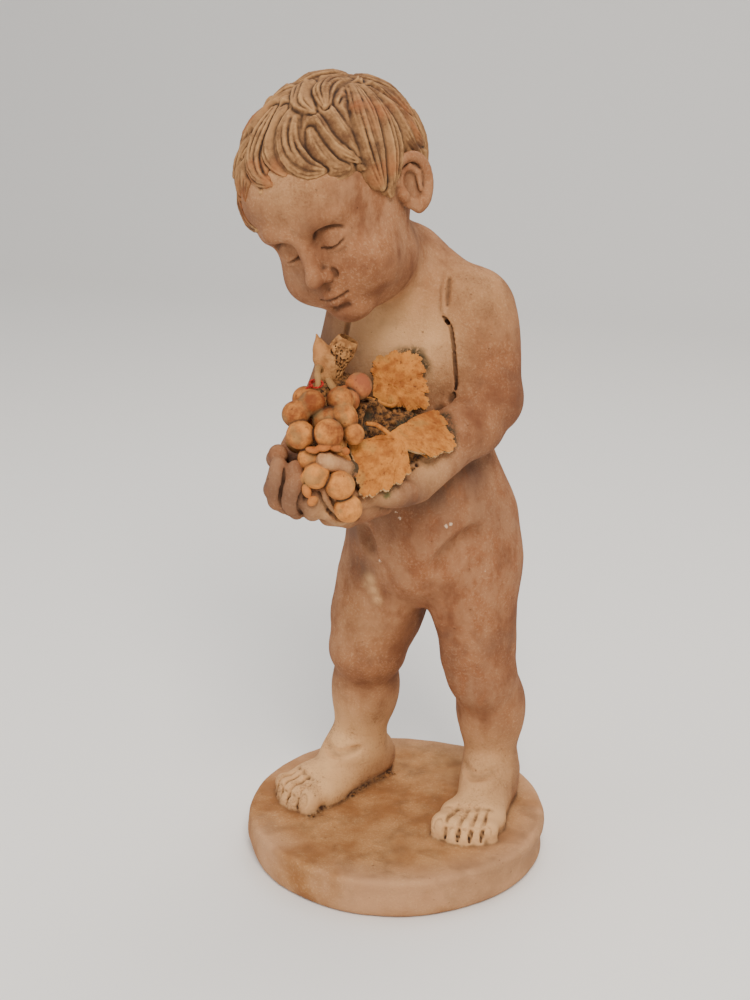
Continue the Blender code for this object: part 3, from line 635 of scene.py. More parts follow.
def model_foot(clay, foot, inner):
    """A bare foot flat on the slab; inner is +1 where the big toe is on the foot's +X side. The toes are
    parted by straight cuts, and each nail is an arch pressed into its tip."""
    clay.frame = foot_frame(*foot)
    clay.lay(
        ((0, 2, 14), (20, 21, 20), 8),
        ((0, -28, 22), (19, 34, 17), 18, (16, 0, 0)),
        ((0, -36, 32), (11, 12, 6), 14, (30, 0, 0)),
    )
    clay.limb((-7 * inner, -10, 9), (-12 * inner, -58, 8), 14, 13, soft=8)
    clay.egg((-1 * inner, -62, 8), (26, 20, 14), soft=9)
    for tip, reach, radius, root in TOES:
        knuckle = (0.5 * (tip + root) * inner, 0.5 * (reach - 70) - 2, 10.0)
        end = (tip * inner, reach + radius, radius * 0.62)
        clay.strip([(root * inner, -64, 9), knuckle, end], [radius, radius, radius * 0.9], soft=3.2)
    for (one, reach, _, first), (two, _, _, second) in zip(TOES, TOES[1:]):
        tip, root = 0.5 * (one + two) * inner, 0.5 * (first + second) * inner
        parting = [(tip, reach + 1, 0), (tip, reach + 10, 0), (root, -74, 0), (root, -67, 0)]
        clay.draw(parting, FROM_ABOVE, [0.9, 1.5, 1.3, 0.5], soft=1.0, sink=0.5)
        clay.draw([(tip, -90, 11), (tip, -90, 2)], FROM_FRONT, [1.2, 1.1], soft=1.0, sink=0.4)
    for tip, reach, radius, _ in TOES:
        turn = np.radians((-115, -75, -35, 0, 35, 75, 115))
        across, back = 0.50 * radius * np.sin(turn), 0.62 * radius * np.cos(turn)
        arch = np.stack([tip * inner + across, reach + 0.5 * radius + 0.8 * back, radius + 0.6 * back], 1)
        clay.draw([tuple(p) for p in arch], (0, 0.6, -0.8), [0.5, 0.8, 0.85, 0.8, 0.5], soft=0.6, sink=0.1)
    fold = [(x * inner, y, 0) for x, y in ((-20, -66), (-5, -71), (6, -72), (18, -70))]
    clay.draw(fold, FROM_ABOVE, [0.5, 1.1, 1.3, 0.6], soft=2.5)
    clay.frame = Matrix.Identity(4)


def model_arms(clay):
    """Both arms bent at the elbow, the hands cupped before the belly."""
    clay.lay(
        ((55, 19, 412), (67.5, 14, 350), 27, 25, 12),
        ((60, 20, 385), (25, 27, 40), 10),
        ((67, 12, 342), (40, -66, 303), 23.5, 16, 9),
        ((61, -12, 328), (21, 29, 20), 9, (-20, 0, -18)),
        ((-34, 14, 410), (-47, -6, 346), 26, 21.5, 12),
        ((-47, -10, 340), (-50, -84, 305), 21.5, 15, 9),
        ((-49, -32, 328), (19, 27, 19), 9, (-20, 0, 4)),
    )


LEFT_FINGERS = (
    ([(20, -102, 299), (8, -126, 298), (-1, -134, 304), (-3, -134, 310)], 7.6),
    ([(18, -98, 292), (4, -122, 289), (-7, -132, 296), (-10, -134, 303)], 7.8),
    ([(20, -92, 288), (6, -112, 284), (-5, -120, 286)], 7.6),
    ([(22, -84, 287), (10, -98, 283)], 7.4),
    ([(32, -88, 305), (20, -104, 311), (11, -117, 320), (1, -138, 332)], 7.8),
)
RIGHT_FINGERS = (
    ([(-38, -100, 301), (-38, -127, 301), (-35, -143, 309), (-30, -145, 323)], 8.2),
    ([(-28, -102, 297), (-26, -129, 296), (-22, -143, 304), (-18, -143, 317)], 8.2),
    ([(-16, -100, 294), (-13, -126, 292), (-9, -137, 297), (-7, -138, 303)], 7.6),
    ([(-6, -96, 292), (-3, -116, 289), (1, -126, 291)], 7.0),
    ([(-52, -90, 311), (-46, -116, 322), (-35, -136, 332)], 7.6),
)
# The backs of the right hand's fingers as ridges, and the grooves that part the fingers of both hands
FINGER_RIDGES = (
    ([(-31, -144, 327), (-32, -146, 315), (-33, -142, 301), (-33, -130, 293)], [5.6, 6.6, 6.8, 6.0]),
    ([(-20, -141, 325), (-20, -145, 312), (-22, -144, 299), (-24, -132, 291)], [5.4, 6.4, 6.8, 6.0]),
    ([(-9, -136, 311), (-10, -139, 300), (-13, -130, 291)], [5.2, 6.0, 6.0]),
)
FINGER_GROOVES = (
    [(-26, -146, 326), (-25.5, -149, 318), (-28, -148, 309), (-29, -145, 298), (-29, -136, 290)],
    [(-12, -142, 319), (-14, -146, 309), (-17, -144, 299), (-18, -136, 291)],
    [(-3, -140, 310), (0, -139, 301), (6, -130, 289), (14, -112, 284)],
    [(4, -138, 307), (8, -134, 298), (14, -122, 290)],
)
# Middle of each finger nail that shows, and the way that it faces
FINGER_NAILS = (((-30, -149, 325), (-0.25, -0.95, 0.1)), ((-19.5, -146, 322), (-0.1, -0.98, 0.15)),
                ((1, -143, 335), (0.35, -0.75, 0.55)))


def model_hands(clay):
    """Palms up under the bunch, the fingers curling round it from both sides, with creased knuckles and
    nails."""
    clay.egg((25, -86, 301), (25, 29, 14), turn=(-12, 0, -35), soft=8)
    clay.egg((-36, -98, 306), (23, 27, 15), turn=(-10, 0, 12), soft=8)
    for path, radius in LEFT_FINGERS + RIGHT_FINGERS:
        clay.strip(path, [radius * (1 - 0.05 * n) for n in range(len(path))], soft=1.8)
    for path, radii in FINGER_RIDGES:
        clay.strip(path, radii, soft=2.0)
    for path in FINGER_GROOVES:
        clay.draw(path, LOOK, [0.9, 1.4, 1.5, 1.3], soft=0.9, sink=1.2)
    for place, facing in FINGER_NAILS:
        turn = Vector(facing).to_track_quat("Z", "Y").to_euler()
        clay.egg(place, (3.6, 4.6, 1.6), turn=np.degrees(turn), soft=0.9)


BED_CRUMBS = 420
BED_TOP = 366.0


def model_bed(clay):
    """The rough clay bed between chest and forearms that the bunch, leaves and stub are set in."""
    clay.laying = BED
    clay.lay(
        ((13, -50, 322), (36, 42, 25), 8, (-12, 0, 0)),
        ((-18, -60, 326), (30, 44, 27), 8, (-8, 0, 0)),
        ((-25, -62, 349), (22, 32, 25), 6),
        ((8, -78, 346), (14, 18, 14), 6),
        ((-5, -94, 320), (29, 26, 24), 6),
    )
    clay.egg((20, -84, 350), (13, 15, 9), turn=(25, 0, 0), soft=3, cut=True)
    clay.egg((10, -46, 357), (20, 16, 8), turn=(15, 0, 0), soft=3, cut=True)
    clay.egg((-14, -84, 366), (7, 8, 12), soft=2, cut=True)
    rng = np.random.default_rng(11)
    crumbs = np.full((BED_CRUMBS, 3), BED_TOP + 24.0)
    crumbs[:, 0] = rng.uniform(-22, 44, BED_CRUMBS)
    crumbs[:, 1] = rng.uniform(-100, -22, BED_CRUMBS)
    crumbs = clay.touch(crumbs, FROM_ABOVE, 90.0)[0]
    for n, place in enumerate(crumbs[crumbs[:, 2] < BED_TOP]):
        clay.egg(place, rng.uniform(0.9, 2.8, 3), turn=rng.uniform(0, 180, 3), soft=0.8, cut=n % 5 < 2)
    clay.laying = BODY


HEAD_MIDDLE = (-28.0, -43.0, 497.0)
HEAD_SIZE = 0.965
HEAD_BOW = 25.0
HEAD_TIP = -20.0
HEAD_TURN = -14.0


def head_frame():
    """The head's own frame: its middle, bowed forward, turned and tipped to the figure's right."""
    bow = Matrix.Rotation(np.radians(HEAD_BOW), 4, "X")
    tip = Matrix.Rotation(np.radians(HEAD_TIP), 4, "Y")
    turn = Matrix.Rotation(np.radians(HEAD_TURN), 4, "Z")
    return Matrix.Translation(HEAD_MIDDLE) @ turn @ tip @ bow @ Matrix.Scale(HEAD_SIZE, 4)


def model_head(clay):
    """Skull and the forms of a calm, full-cheeked child's face, in the head's own frame."""
    clay.frame = head_frame()
    clay.lay(
        ((0, 8, 18), (62, 70, 58), 10),
        ((0, -20, -24), (47, 42, 50), 22),
        ((0, -16, -55), (34, 38, 21), 20),
        ((0, -38, 24), (45, 27, 32), 16),
        ((0, -49, -44), (22, 16, 19), 14),
        ((0, -53, -63), (15, 12, 11), 11),
    )
    for side in (-1, 1):
        clay.egg((27 * side, -42, -36), (21, 20, 21), soft=12)
        clay.egg((21 * side, -66, -6), (13, 7, 9), soft=10, cut=True)
        clay.egg((20.5 * side, -50.8, -8.5), (12.0, 10.2, 9.5), soft=3)
        model_eyelids(clay, side)
        brow = [(9 * side, -65, 7), (20 * side, -63.5, 11), (34 * side, -53, 7)]
        clay.strip(brow, [2.6, 3.0, 2.2], soft=9)
    model_nose(clay)
    model_mouth(clay)
    for side in (-1, 1):
        model_ear(clay, side)
    clay.frame = Matrix.Identity(4)


def model_eyelids(clay, side):
    """A lowered lid: a line drawn where the lids meet, thin rims laid beside it and a fold drawn above."""
    into = (0.15 * side, 1, 0)
    meet = [(x * side, -50, z) for x, z in ((9.5, -11), (15, -13), (21, -13.8), (27, -13), (31.5, -11))]
    rim = [(x, y, z + 1.9) for x, y, z in meet[1:-1]]
    sill = [(x, y, z - 2.0) for x, y, z in meet[1:-1]]
    fold = [(x * side, -50, z) for x, z in ((9.5, -4), (15, 0.5), (22, 1.5), (29, -1), (33, -5))]
    clay.draw(rim, into, [0.8, 1.3, 0.8], soft=1.6, cut=False, sink=0.5)
    clay.draw(sill, into, [0.8, 1.1, 0.8], soft=1.6, cut=False, sink=0.5)
    clay.draw(meet, into, [0.7, 1.15, 1.2, 1.15, 0.6], soft=0.6, sink=0.1)
    clay.draw(fold, into, [0.3, 0.8, 0.9, 0.8, 0.3], soft=2.4)


def model_nose(clay):
    """A short rounded nose with wings and nostrils."""
    clay.limb((0, -63, -3), (0, -70.5, -24), 4.2, 5.6, soft=9)
    clay.egg((0, -73, -28), (6.6, 6, 5.8), soft=4)
    for side in (-1, 1):
        clay.egg((6.8 * side, -67, -30), (4.6, 5.6, 4.6), soft=2.5)
        clay.egg((3.4 * side, -70.5, -34.2), (1.9, 2.8, 1.9), soft=1, cut=True)
        wing = [(x * side, -60, z) for x, z in ((11, -27), (12.5, -31), (11, -34))]
        clay.draw(wing, FROM_FRONT, [0.4, 1.0, 0.4], soft=2)


def model_mouth(clay):
    """Closed lips with a bow above and a soft fold below."""
    clay.limb((0, -67.5, -36), (0, -68, -41), 1.4, 1.6, soft=3, cut=True)
    upper = [(-11.5, -60, -46.6), (-4, -65.4, -44.8), (0, -65.6, -45.4),
             (4, -65.4, -44.8), (11.5, -60, -46.6)]
    clay.strip(upper, [1.6, 2.9, 2.8, 2.9, 1.6], soft=3)
    clay.strip([(-9.5, -60.8, -49.4), (0, -64.4, -50.8), (9.5, -60.8, -49.4)], [2.2, 3.8, 2.2], soft=3)
    meet = [(x, -60, z) for x, z in ((-13.5, -46.8), (-7, -48.2), (0, -47.8), (7, -48.2), (13.5, -46.8))]
    clay.draw(meet, FROM_FRONT, [0.8, 1.1, 0.9, 1.1, 0.8], soft=0.8, sink=0.2)
    clay.limb((-6, -63.8, -57), (6, -63.8, -57), 0.9, 0.9, soft=7, cut=True)


def model_ear(clay, side):
    """A rounded shell that stands off behind, with a rolled rim, an inner fold, a hollow and a lobe."""
    clay.egg((60 * side, 0, -12), (5.5, 12, 19), turn=(-8, 0, -32 * side), soft=4)
    clay.egg((64.5 * side, -2, -11), (5, 7.5, 11), turn=(-8, 0, -32 * side), soft=1.5, cut=True)
    rim = [(57, -9, -3), (59, -9, 4), (64, -1, 8), (69, 8, 5),
           (71, 11, -4), (69, 8, -16), (64, 2, -25), (59, -4, -28)]
    thick = np.interp(np.linspace(0, 7, 22), range(8), (2.4, 2.8, 3.2, 3.2, 3.2, 3.2, 3.6, 3.8))
    clay.strip(through([(x * side, y, z) for x, y, z in rim], 22), thick, soft=2.0)
    inner = [(62, -4, 1), (65.5, 2, 1), (67, 5, -6), (64.5, 1, -17)]
    clay.strip([(x * side, y, z) for x, y, z in inner], [1.2, 1.7, 1.8, 1.4], soft=1.6)
    clay.egg((57.5 * side, -10, -13), (4, 3.5, 5), soft=2)


BASE_RADIUS = 121.0
BASE_EDGE = 5.0
SLAB_THICK = 33.0


def model_slab(clay):
    """The round slab: the distance to a disc with a rounded edge, whose radius and top wander a little,
    with two shallow steps round its side where the coils of clay were pressed together."""
    clay.laying = SLAB
    corners = [(-BASE_RADIUS, -BASE_RADIUS, -SLAB_THICK), (BASE_RADIUS, BASE_RADIUS, 4)]
    slices, (x, y, z) = clay.window(corners, 8.0)
    angle = np.arctan2(y, x)
    rim = BASE_RADIUS - 0.9 + 0.9 * np.sin(2 * angle + 0.6)
    rim = rim + 0.5 * np.sin(5 * angle + 2) + 0.3 * np.sin(11 * angle)
    coil = 0.9 * np.sin((z + 4.0) / 4.6 + 1.2 * np.sin(angle + 1) + 0.5 * np.sin(3 * angle))
    rim = rim + coil * np.clip((z + SLAB_THICK) / 8, 0, 1) - 2.4 * np.clip(-(z + 8) / 25, 0, 1)
    outer = np.sqrt(x * x + y * y) - (rim - BASE_EDGE)
    height = np.abs(z + SLAB_THICK / 2) - (SLAB_THICK / 2 - BASE_EDGE)
    distance = np.sqrt(np.maximum(outer, 0) ** 2 + np.maximum(height, 0) ** 2)
    distance += np.minimum(np.maximum(outer, height), 0) - BASE_EDGE
    distance += 0.35 * clay.swell(16.0, 5, slices) * np.clip((z + 30) / 10, 0, 1)
    clay.blend(slices, distance.astype(np.float32), 5.0, False)
    clay.laying = BODY


FOOT_CRUMBS = 110


def model_crumbs(clay):
    """The rough clay that was pushed in along the inner edge of the right foot."""
    clay.frame = foot_frame(*RIGHT_FOOT)
    clay.limb((7, -6, 10), (13.5, -66, 9), 11.5, 11.5, soft=6)
    clay.laying = CRUMB
    rng = np.random.default_rng(3)
    for _ in range(FOOT_CRUMBS):
        y = rng.uniform(-94, 8)
        x = 19.0 - 0.05 * (y + 20) + 1.2 * np.sin(y / 9.0) + rng.normal(0, 1.5)
        place = (x, y, rng.uniform(-0.8, 1.2))
        clay.egg(place, rng.uniform(1.0, 2.8, 3), turn=rng.uniform(0, 180, 3), soft=0.8)
    clay.frame = Matrix.Identity(4)
    clay.laying = BODY


fineness = 1.0
axes = [np.arange(low, high, step * fineness, dtype=np.float32)
        for low, high, step in ((-135, 131, 0.95), (-172, 126, 0.95), (-36, 582, 1.0))]
clay = Clay(axes)
model_torso(clay)
model_legs(clay)
model_foot(clay, LEFT_FOOT, inner=-1)
model_foot(clay, RIGHT_FOOT, inner=1)
model_arms(clay)
crease_torso(clay)
crease_legs(clay)
model_bed(clay)
model_hands(clay)
model_head(clay)
model_slab(clay)
model_crumbs(clay)
clay.field += 0.28 * clay.swell(17.0, 1) + 0.14 * clay.swell(6.0, 2)

# The outlines of the two leaves, which the figure's green growth and painted leaf shadow follow: where the
# ribs meet, then the points of the edge, each with 1 where the stretch after it is toothed and 0 where it is
# plain
LEAF_HALF = 1.75
LEAF_TOOTH = 2.4
UPPER_RIB = (11, -41, 363)
UPPER_LEAF = (
    (-3, -42, 369, 1), (-6, -36, 378, 1), (5, -28, 384, 1), (14, -25, 384, 1), (23, -22, 383, 1),
    (29, -24, 375, 1), (30, -28, 367, 1), (35, -30, 361, 1), (34, -35, 355, 1), (39, -37, 350, 1),
    (30, -42, 347, 1), (19, -46, 349, 1), (9, -49, 351, 0), (0, -50, 356, 0),
)
LOWER_RIB = (36, -90, 337)
LOWER_LEAF = (
    (6, -112, 338, 0), (19, -103, 340, 0), (29, -89, 342, 0), (35, -56, 346, 0), (42, -38, 347, 1),
    (50, -38, 342, 1), (56, -46, 335, 1), (65, -53, 327, 1), (58, -74, 324, 1), (49, -82, 327, 0),
    (42, -91, 331, 0), (46, -97, 320, 1), (45, -104, 315, 1), (38, -111, 310, 1), (31, -118, 307, 1),
    (23, -124, 304, 1), (18, -123, 314, 1), (12, -116, 329, 0),
)
UPPER_LEAF_RIBS = ((-4, -38, 376), (12, -26, 383), (29, -26, 373), (35, -37, 353), (22, -45, 350))
LOWER_LEAF_RIBS = ((52, -42, 339), (62, -60, 327), (45, -100, 318), (26, -121, 307), (10, -112, 336))
UPPER_TENDRIL = [(17, -44, 351), (15, -55, 351.5), (8, -68, 358), (2, -76, 362)]
LOWER_TENDRIL = [(33, -92, 338), (28, -95, 344), (22, -98, 349), (17, -104, 351)]

FIGURE_TRIANGLES = 196000
figure_mesh, pose = skin_mesh("putto_figure", clay, FIGURE_TRIANGLES)

paint(figure_mesh, "bed", clay.read((clay.kind == BED) | (clay.kind == CRUMB), pose))
paint(figure_mesh, "slab", clay.read(clay.kind == SLAB, pose))
# How hollow the skin is, finely and widely: the colour darkens with both, as painted shade in creases and
# hollows
fine, wide = clay.sunken(pose, 2.0), clay.sunken(pose, 8.0)
paint(figure_mesh, "groove", (fine - 0.52) * 4.5)
paint(figure_mesh, "shelter", (wide - 0.54) * 3.2)
# The places of pale dust, of dark stain that is partly painted shade under the forearms, and of rusty clay
# that is partly painted shade below the arms, with the reach and strength of each
paint(figure_mesh, "dust", near_spots(pose, (
    (68, -30, 8, 52, 0.95), (-60, -20, 8, 54, 0.95), (68, 16, 34, 34, 0.55), (-48, 20, 40, 44, 0.9),
    (44, -66, 312, 18, 0.5), (-4, -12, 400, 36, 0.7), (26, -10, 392, 30, 0.6), (-24, -16, 162, 28, 0.15),
    (60, 4, 430, 36, 0.3), (-14, -20, 203, 5, 0.8), (-11, -20, 194, 4, 0.7), (-9, -20, 186, 4, 0.7),
    (-18, -19, 197, 3, 0.6), (-40, -112, 520, 34, 0.35), (4, -139, 332, 8, 0.6), (12, -129, 325, 8, 0.3),
    (-2, -134, 297, 13, 0.5), (9, -126, 288, 12, 0.5), (30, -112, 300, 16, 0.3))))
# Dark stain, partly painted shade on the belly and flanks under the forearms
paint(figure_mesh, "stain_and_painted_shade", near_spots(pose, (
    (30, -40, 282, 20, 0.9), (62, -11, 297, 24, 0.8), (0, -40, 268, 24, 0.7), (-30, -14, 246, 24, 0.9),
    (-24, -17, 212, 14, 0.9), (44, -34, 284, 22, 0.9), (-32, -142, 312, 17, 1.0), (-20, -145, 305, 16, 0.9),
    (-40, -110, 298, 30, 0.8), (-16, -138, 300, 10, 0.3), (46, -92, 290, 18, 0.7),
    (-55, -15, 378, 36, 0.6), (42, -38, 262, 26, 0.35), (76, -4, 262, 28, 0.35), (65, -6, 112, 24, 0.35),
    (4, -40, 250, 22, 0.4), (86, 10, 350, 24, 0.25))))
# Rusty clay, partly painted shade below the arms on belly, flanks, thighs and the left knee
paint(figure_mesh, "rust_and_painted_shade", near_spots(pose, (
    (40, -34, 240, 40, 0.9), (76, 0, 215, 60, 0.9), (46, -16, 180, 44, 0.7), (-20, -10, 180, 36, 0.4),
    (84, 12, 370, 40, 0.6), (64, -10, 130, 44, 0.7), (20, 70, 210, 60, 0.5), (-20, -80, 480, 46, 0.3))))
paint(figure_mesh, "rim", (np.hypot(pose[:, 0], pose[:, 1]) - 88) / 30)
leaf_border = np.array([p[:3] for p in UPPER_LEAF + LOWER_LEAF], float)
ahead = np.roll(leaf_border, -1, 0)
leaf_border = np.concatenate([leaf_border * (1 - k / 6) + ahead * k / 6 for k in range(6)])
near_leaf = np.full(len(pose), np.inf)
for spot in leaf_border:
    near_leaf = np.minimum(near_leaf, ((pose - spot) ** 2).sum(1))
# Green growth and the painted shadow of the leaves' edges, within a few millimetres of their outlines
paint(figure_mesh, "growth_and_leaf_shadow", 2.2 - np.sqrt(near_leaf) / 3.4)

# A green speck on the left wrist, and the place and reach of each chip
GREEN_SPECK = (34.5, -109.3, 303.1)
CHIPS = (
    (53.6, -30.4, 259.4, 1.1), (51.2, -32.4, 258.1, 1.0), (71.7, -13.5, 242.9, 0.9),
    (75.1, -9.9, 218.1, 0.4), (18.4, -42.1, 263.3, 0.9), (15.3, -42.4, 267.7, 0.5),
    (-2.1, -30.7, 222.6, 0.6), (-46.8, -4.9, 147.7, 0.6),
)


def millimetres_from(x, y, z):
    """How far each place of the material that is being built lies from one given in pose units."""
    sockets = {0: shade.place(), 1: to_metres((x, y, z))}
    return shade.node("ShaderNodeVectorMath", {"operation": "DISTANCE"}, sockets, out=1) * (1 / UNIT)


# The finish of the fired figure: red-brown clay clouded with a thin pale slip that lies in speckles, grey
# patches, painted shade that darkens its creases and hollows, dark stain and rusty clay that carry painted
# shade under and below the arms as well, cream dust over feet and shins, chips, and green growth round the
# leaves with the painted shadow of their edges
material, shader, shade = dry_material("toned_terracotta")
cloud = shade.noise(9.0, 4.0, 0.55)
mottle = shade.noise(38.0, 5.0, 0.6)
speckle = shade.noise(520.0, 4.0, 0.7)
grain = shade.noise(900.0, 3.0, 0.6)
smear = shade.noise(90.0, 5.0, 0.65, stretch=(1.0, 1.0, 0.5))
tone = cloud * 0.35 + mottle * 0.45 + smear * 0.20
veil = cloud.step(0.40, 0.62) * smear.step(0.35, 0.62)
bloom = speckle.step(0.50, 0.64) * mottle.step(0.34, 0.60)
grey = shade.noise(14.0, 4.0, 0.6).step(0.56, 0.70)
colour = shade.colour(tone.step(0.36, 0.62), linear(112, 66, 40), linear(152, 100, 64)).coated(
    # rusty clay, partly painted shade below the arms
    (shade.painted("rust_and_painted_shade") * mottle.step(0.3, 0.6) * 0.5, 132, 70, 38),
    (veil * 0.50, 172, 126, 90),
    (bloom * 0.26, 200, 158, 118),
    (grey * 0.45, 112, 80, 60),
    (shade.painted("dust") * (tone * 0.6 + speckle * 0.4).step(0.30, 0.50) * 0.92, 228, 178, 122),
    # dark stain, partly painted shade under the forearms
    (shade.painted("stain_and_painted_shade") * smear.step(0.25, 0.50) * 0.80, 84, 60, 48),
)
slab_tone = shade.colour(tone.step(0.38, 0.62), linear(142, 92, 50), linear(176, 126, 78)).coated(
    (shade.painted("rim") * cloud.step(0.36, 0.56) * 0.8, 184, 138, 100),
    (bloom * 0.35, 204, 162, 116),
    (grey * 0.35, 118, 84, 56),
)
# The rough bed: brown clay with near-black patches, which are partly painted shade of the trough between
# chest and forearms
bed_share = shade.noise(330.0, 5.0, 0.75).step(0.38, 0.62)
bed_tone_and_shade = shade.colour(bed_share, linear(34, 22, 13), linear(138, 90, 46))
colour = shade.colour(shade.painted("slab"), colour, slab_tone)
colour = shade.colour(shade.painted("bed"), colour, bed_tone_and_shade)
# Painted shade: the colour turns dark brown in the creases and hollows
hollow_shade = shade.math("ADD", shade.painted("groove") * 0.9, shade.painted("shelter") * 0.40, clamp=True)
growth_and_leaf_shadow = shade.painted("growth_and_leaf_shadow") * (smear * 0.5 + speckle * 0.5).step(0.38, 0.52)
pits = shade.noise(300.0, 1.0, 0.5).step(0.24, 0.19)
chips = [(millimetres_from(x, y, z) + speckle * 5.0).step(reach + 3.1, reach + 2.3)
         for x, y, z, reach in CHIPS]
speck = (millimetres_from(*GREEN_SPECK) + speckle * 5.0).step(6.4, 3.6)
colour = colour.coated(
    (hollow_shade * mottle.step(0.10, 0.50), 62, 38, 24),
    # dark green growth and painted shadow round the leaf edges
    (growth_and_leaf_shadow * 0.9, 44, 42, 28),
    (pits * 0.5, 92, 58, 38),
    *((chip * 0.85, 208, 180, 150) for chip in chips),
    (speck * 0.7, 66, 80, 42),
)
roughness = 0.80 + 0.14 * mottle
height = grain * 0.35 + speckle * 0.7 + mottle * 0.8 + smear * 0.5 - pits * 0.5
finish_surface(shader, shade, colour, roughness, height, 0.0010)

figure = place_piece("putto_figure", figure_mesh, material)
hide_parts("putto")
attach(figure, "root")

# The hair: a thick cap of clay pressed on over the skull, combed into short curling locks with a modelling
# tool. It is part of the fired figure; the locks spring from a whorl behind the left temple.
SKULL_MIDDLE = np.array((0.0, 8.0, 18.0))
HAIR_RADII = np.array((66.0, 75.0, 63.0))
CROWN_BACK = np.radians(18.0)
WHORL = (124.0, 39.0)
CAP_INSET = 7.0
COIL = 11.0
LOCK_STEPS = 12
GROOVE_GAP = 1.3
GROOVE_DEPTH = 1.5


def hairline(around):
    """How far down from the crown the hair reaches, in degrees, from the forehead (0) round to the nape
    (180)."""
    turns = (0.0, 45.0, 75.0, 92.0, 106.0, 122.0, 180.0)
    return np.interp(np.abs((around + 180) % 360 - 180), turns, (80, 89, 93, 97, 121, 132, 133))


def outward(around, down):
    """The way from the skull's middle, given degrees round from the forehead and down from the crown."""
    around, down = np.radians(around), np.radians(down)
    return np.stack([np.sin(around) * np.sin(down), -np.cos(around) * np.sin(down), np.cos(down)], -1)


def on_hair(around, down):
    """Points on the cap of hair and the ways out of it there. The crown leans back by 18 degrees at the top
    and less and less below, and the cap is an ellipsoid."""
    out = outward(around, down)
    lean = -CROWN_BACK * np.cos(np.radians(down) / 2) ** 2
    y, z = out[..., 1].copy(), out[..., 2].copy()
    out[..., 1] = np.cos(lean) * y - np.sin(lean) * z
    out[..., 2] = np.sin(lean) * y + np.cos(lean) * z
    points = out / np.sqrt(((out / HAIR_RADII) ** 2).sum(-1, keepdims=True))
    normal = points / HAIR_RADII**2
    return SKULL_MIDDLE + points, normal / np.linalg.norm(normal, axis=-1, keepdims=True)


def from_whorl(heading, away):
    """Degrees round and down of places that lie some degrees away from the whorl along a great circle."""
    whorl = outward(*WHORL)
    east = np.cross(whorl, (0.0, 0.0, 1.0))
    east /= np.linalg.norm(east)
    heading, away = np.radians(heading)[..., None], np.radians(away)[..., None]
    aside = np.cos(heading) * east + np.sin(heading) * np.cross(whorl, east)
    way = np.cos(away) * whorl + np.sin(away) * aside
    around = np.degrees(np.arctan2(way[..., 0], -way[..., 1]))
    return around, np.degrees(np.arccos(np.clip(way[..., 2], -1, 1)))


def bar_radius(half, rise):
    """The radius of a bar that shows a low arched back of the given half width and rise: the sum of their
    squares over twice the rise."""
    return (half**2 + rise**2) / (2 * rise)


def model_lock(clay, path, width, rise, rng, strands=5):
    """One lock along a path over the cap. A wide gouge parts it from its neighbours, a bar with a low
    arched back fills the gouge, and raised strands run along it. Its half width grows from the root, holds
    and runs out to a point."""
    way = through(path, LOCK_STEPS)
    points, out = on_hair(way[:, 0], way[:, 1])
    ahead = np.gradient(points, axis=0)
    across = np.cross(out, ahead)
    across /= np.linalg.norm(across, axis=1)[:, None]
    share = np.linspace(0, 1, LOCK_STEPS)
    points = points + out * (0.3 + 1.4 * share**2)[:, None]
    half = width * np.clip(np.minimum(0.45 + 1.8 * share, np.sqrt(0.05 + 2.4 * (1 - share))), 0, 1)
    crest = rise * np.clip(np.minimum(0.35 + 2.5 * share, 0.35 + 1.8 * (1 - share)), 0, 1)
    bar = bar_radius(half + GROOVE_GAP, GROOVE_DEPTH)
    clay.strip(points + out * (bar - GROOVE_DEPTH)[:, None], bar, soft=0.8, cut=True)
    bar = bar_radius(half, crest)
    clay.strip(points + out * (crest - bar)[:, None], bar, soft=0.8)
    for n in range(strands):
        place = 0.9 * ((n + 0.5) / strands * 2 - 1) + rng.uniform(-0.08, 0.08)
        place = place + 0.12 * np.sin(2 * np.pi * (0.7 * share + rng.uniform()))
        thick = np.maximum(0.92 * half / strands * rng.uniform(0.75, 1.25), 0.6)
        height = crest * (1 - place**2) + rng.uniform(-0.1, 0.6) - 0.35 * thick
        strand = points + across * (half * place)[:, None] + out * height[:, None]
        clay.strip(strand, thick, soft=0.3)


# The locks that lie over the others at the front, lowest first: half width, rise, and the path in degrees
# round and down
FRONT_LOCKS = (
    (7, 2.6, [(125, 100), (125, 112), (119, 127), (108, 139)]),
    (7, 2.6, [(134, 54), (133, 68), (130, 88), (128, 104), (124, 118)]),
    (8, 3.0, [(130, 34), (133, 46), (134, 60), (132, 76)]),
    (7, 2.6, [(104, 62), (105, 78), (108, 92), (118, 100)]),
    (7, 2.8, [(100, 50), (98, 70), (97, 87), (101, 102)]),
    (7, 2.8, [(96, 44), (89, 66), (86, 82), (80, 96), (73, 106)]),
    (8, 3.2, [(96, 46), (84, 70), (76, 88), (68, 102), (64, 113)]),
    (7, 2.8, [(50, 42), (50, 58), (52, 72), (55, 88)]),
    (8, 2.8, [(34, 44), (37, 58), (41, 72), (53, 87)]),
    (10, 4.0, [(88, 42), (75, 60), (67, 78), (62, 93), (60, 106)]),
    (7, 2.6, [(34, 62), (34, 74), (38, 84), (46, 88)]),
    (8, 3.0, [(14, 38), (8, 52), (6, 66), (12, 78)]),
    (10, 3.8, [(30, 40), (20, 54), (18, 68), (24, 79), (33, 84)]),
    (8, 3.2, [(-2, 34), (-8, 48), (-12, 62), (-7, 74), (2, 80)]),
    (7, 3.2, [(-22, 50), (-40, 60), (-47, 72), (-34, 82)]),
    (8, 2.8, [(-44, 26), (-47, 38), (-46, 50), (-38, 60)]),
    (7, 3.0, [(-52, 52), (-48, 64), (-44, 76), (-36, 86)]),
    (7, 3.0, [(-46, 76), (-46, 86), (-38, 95), (-26, 98)]),
    (9, 3.4, [(56, 12), (42, 24), (34, 40), (40, 52)]),
    (9, 3.2, [(100, 34), (76, 32), (58, 38), (50, 52)]),
    (9, 3.4, [(130, 30), (128, 20), (100, 8), (20, 6)]),
)


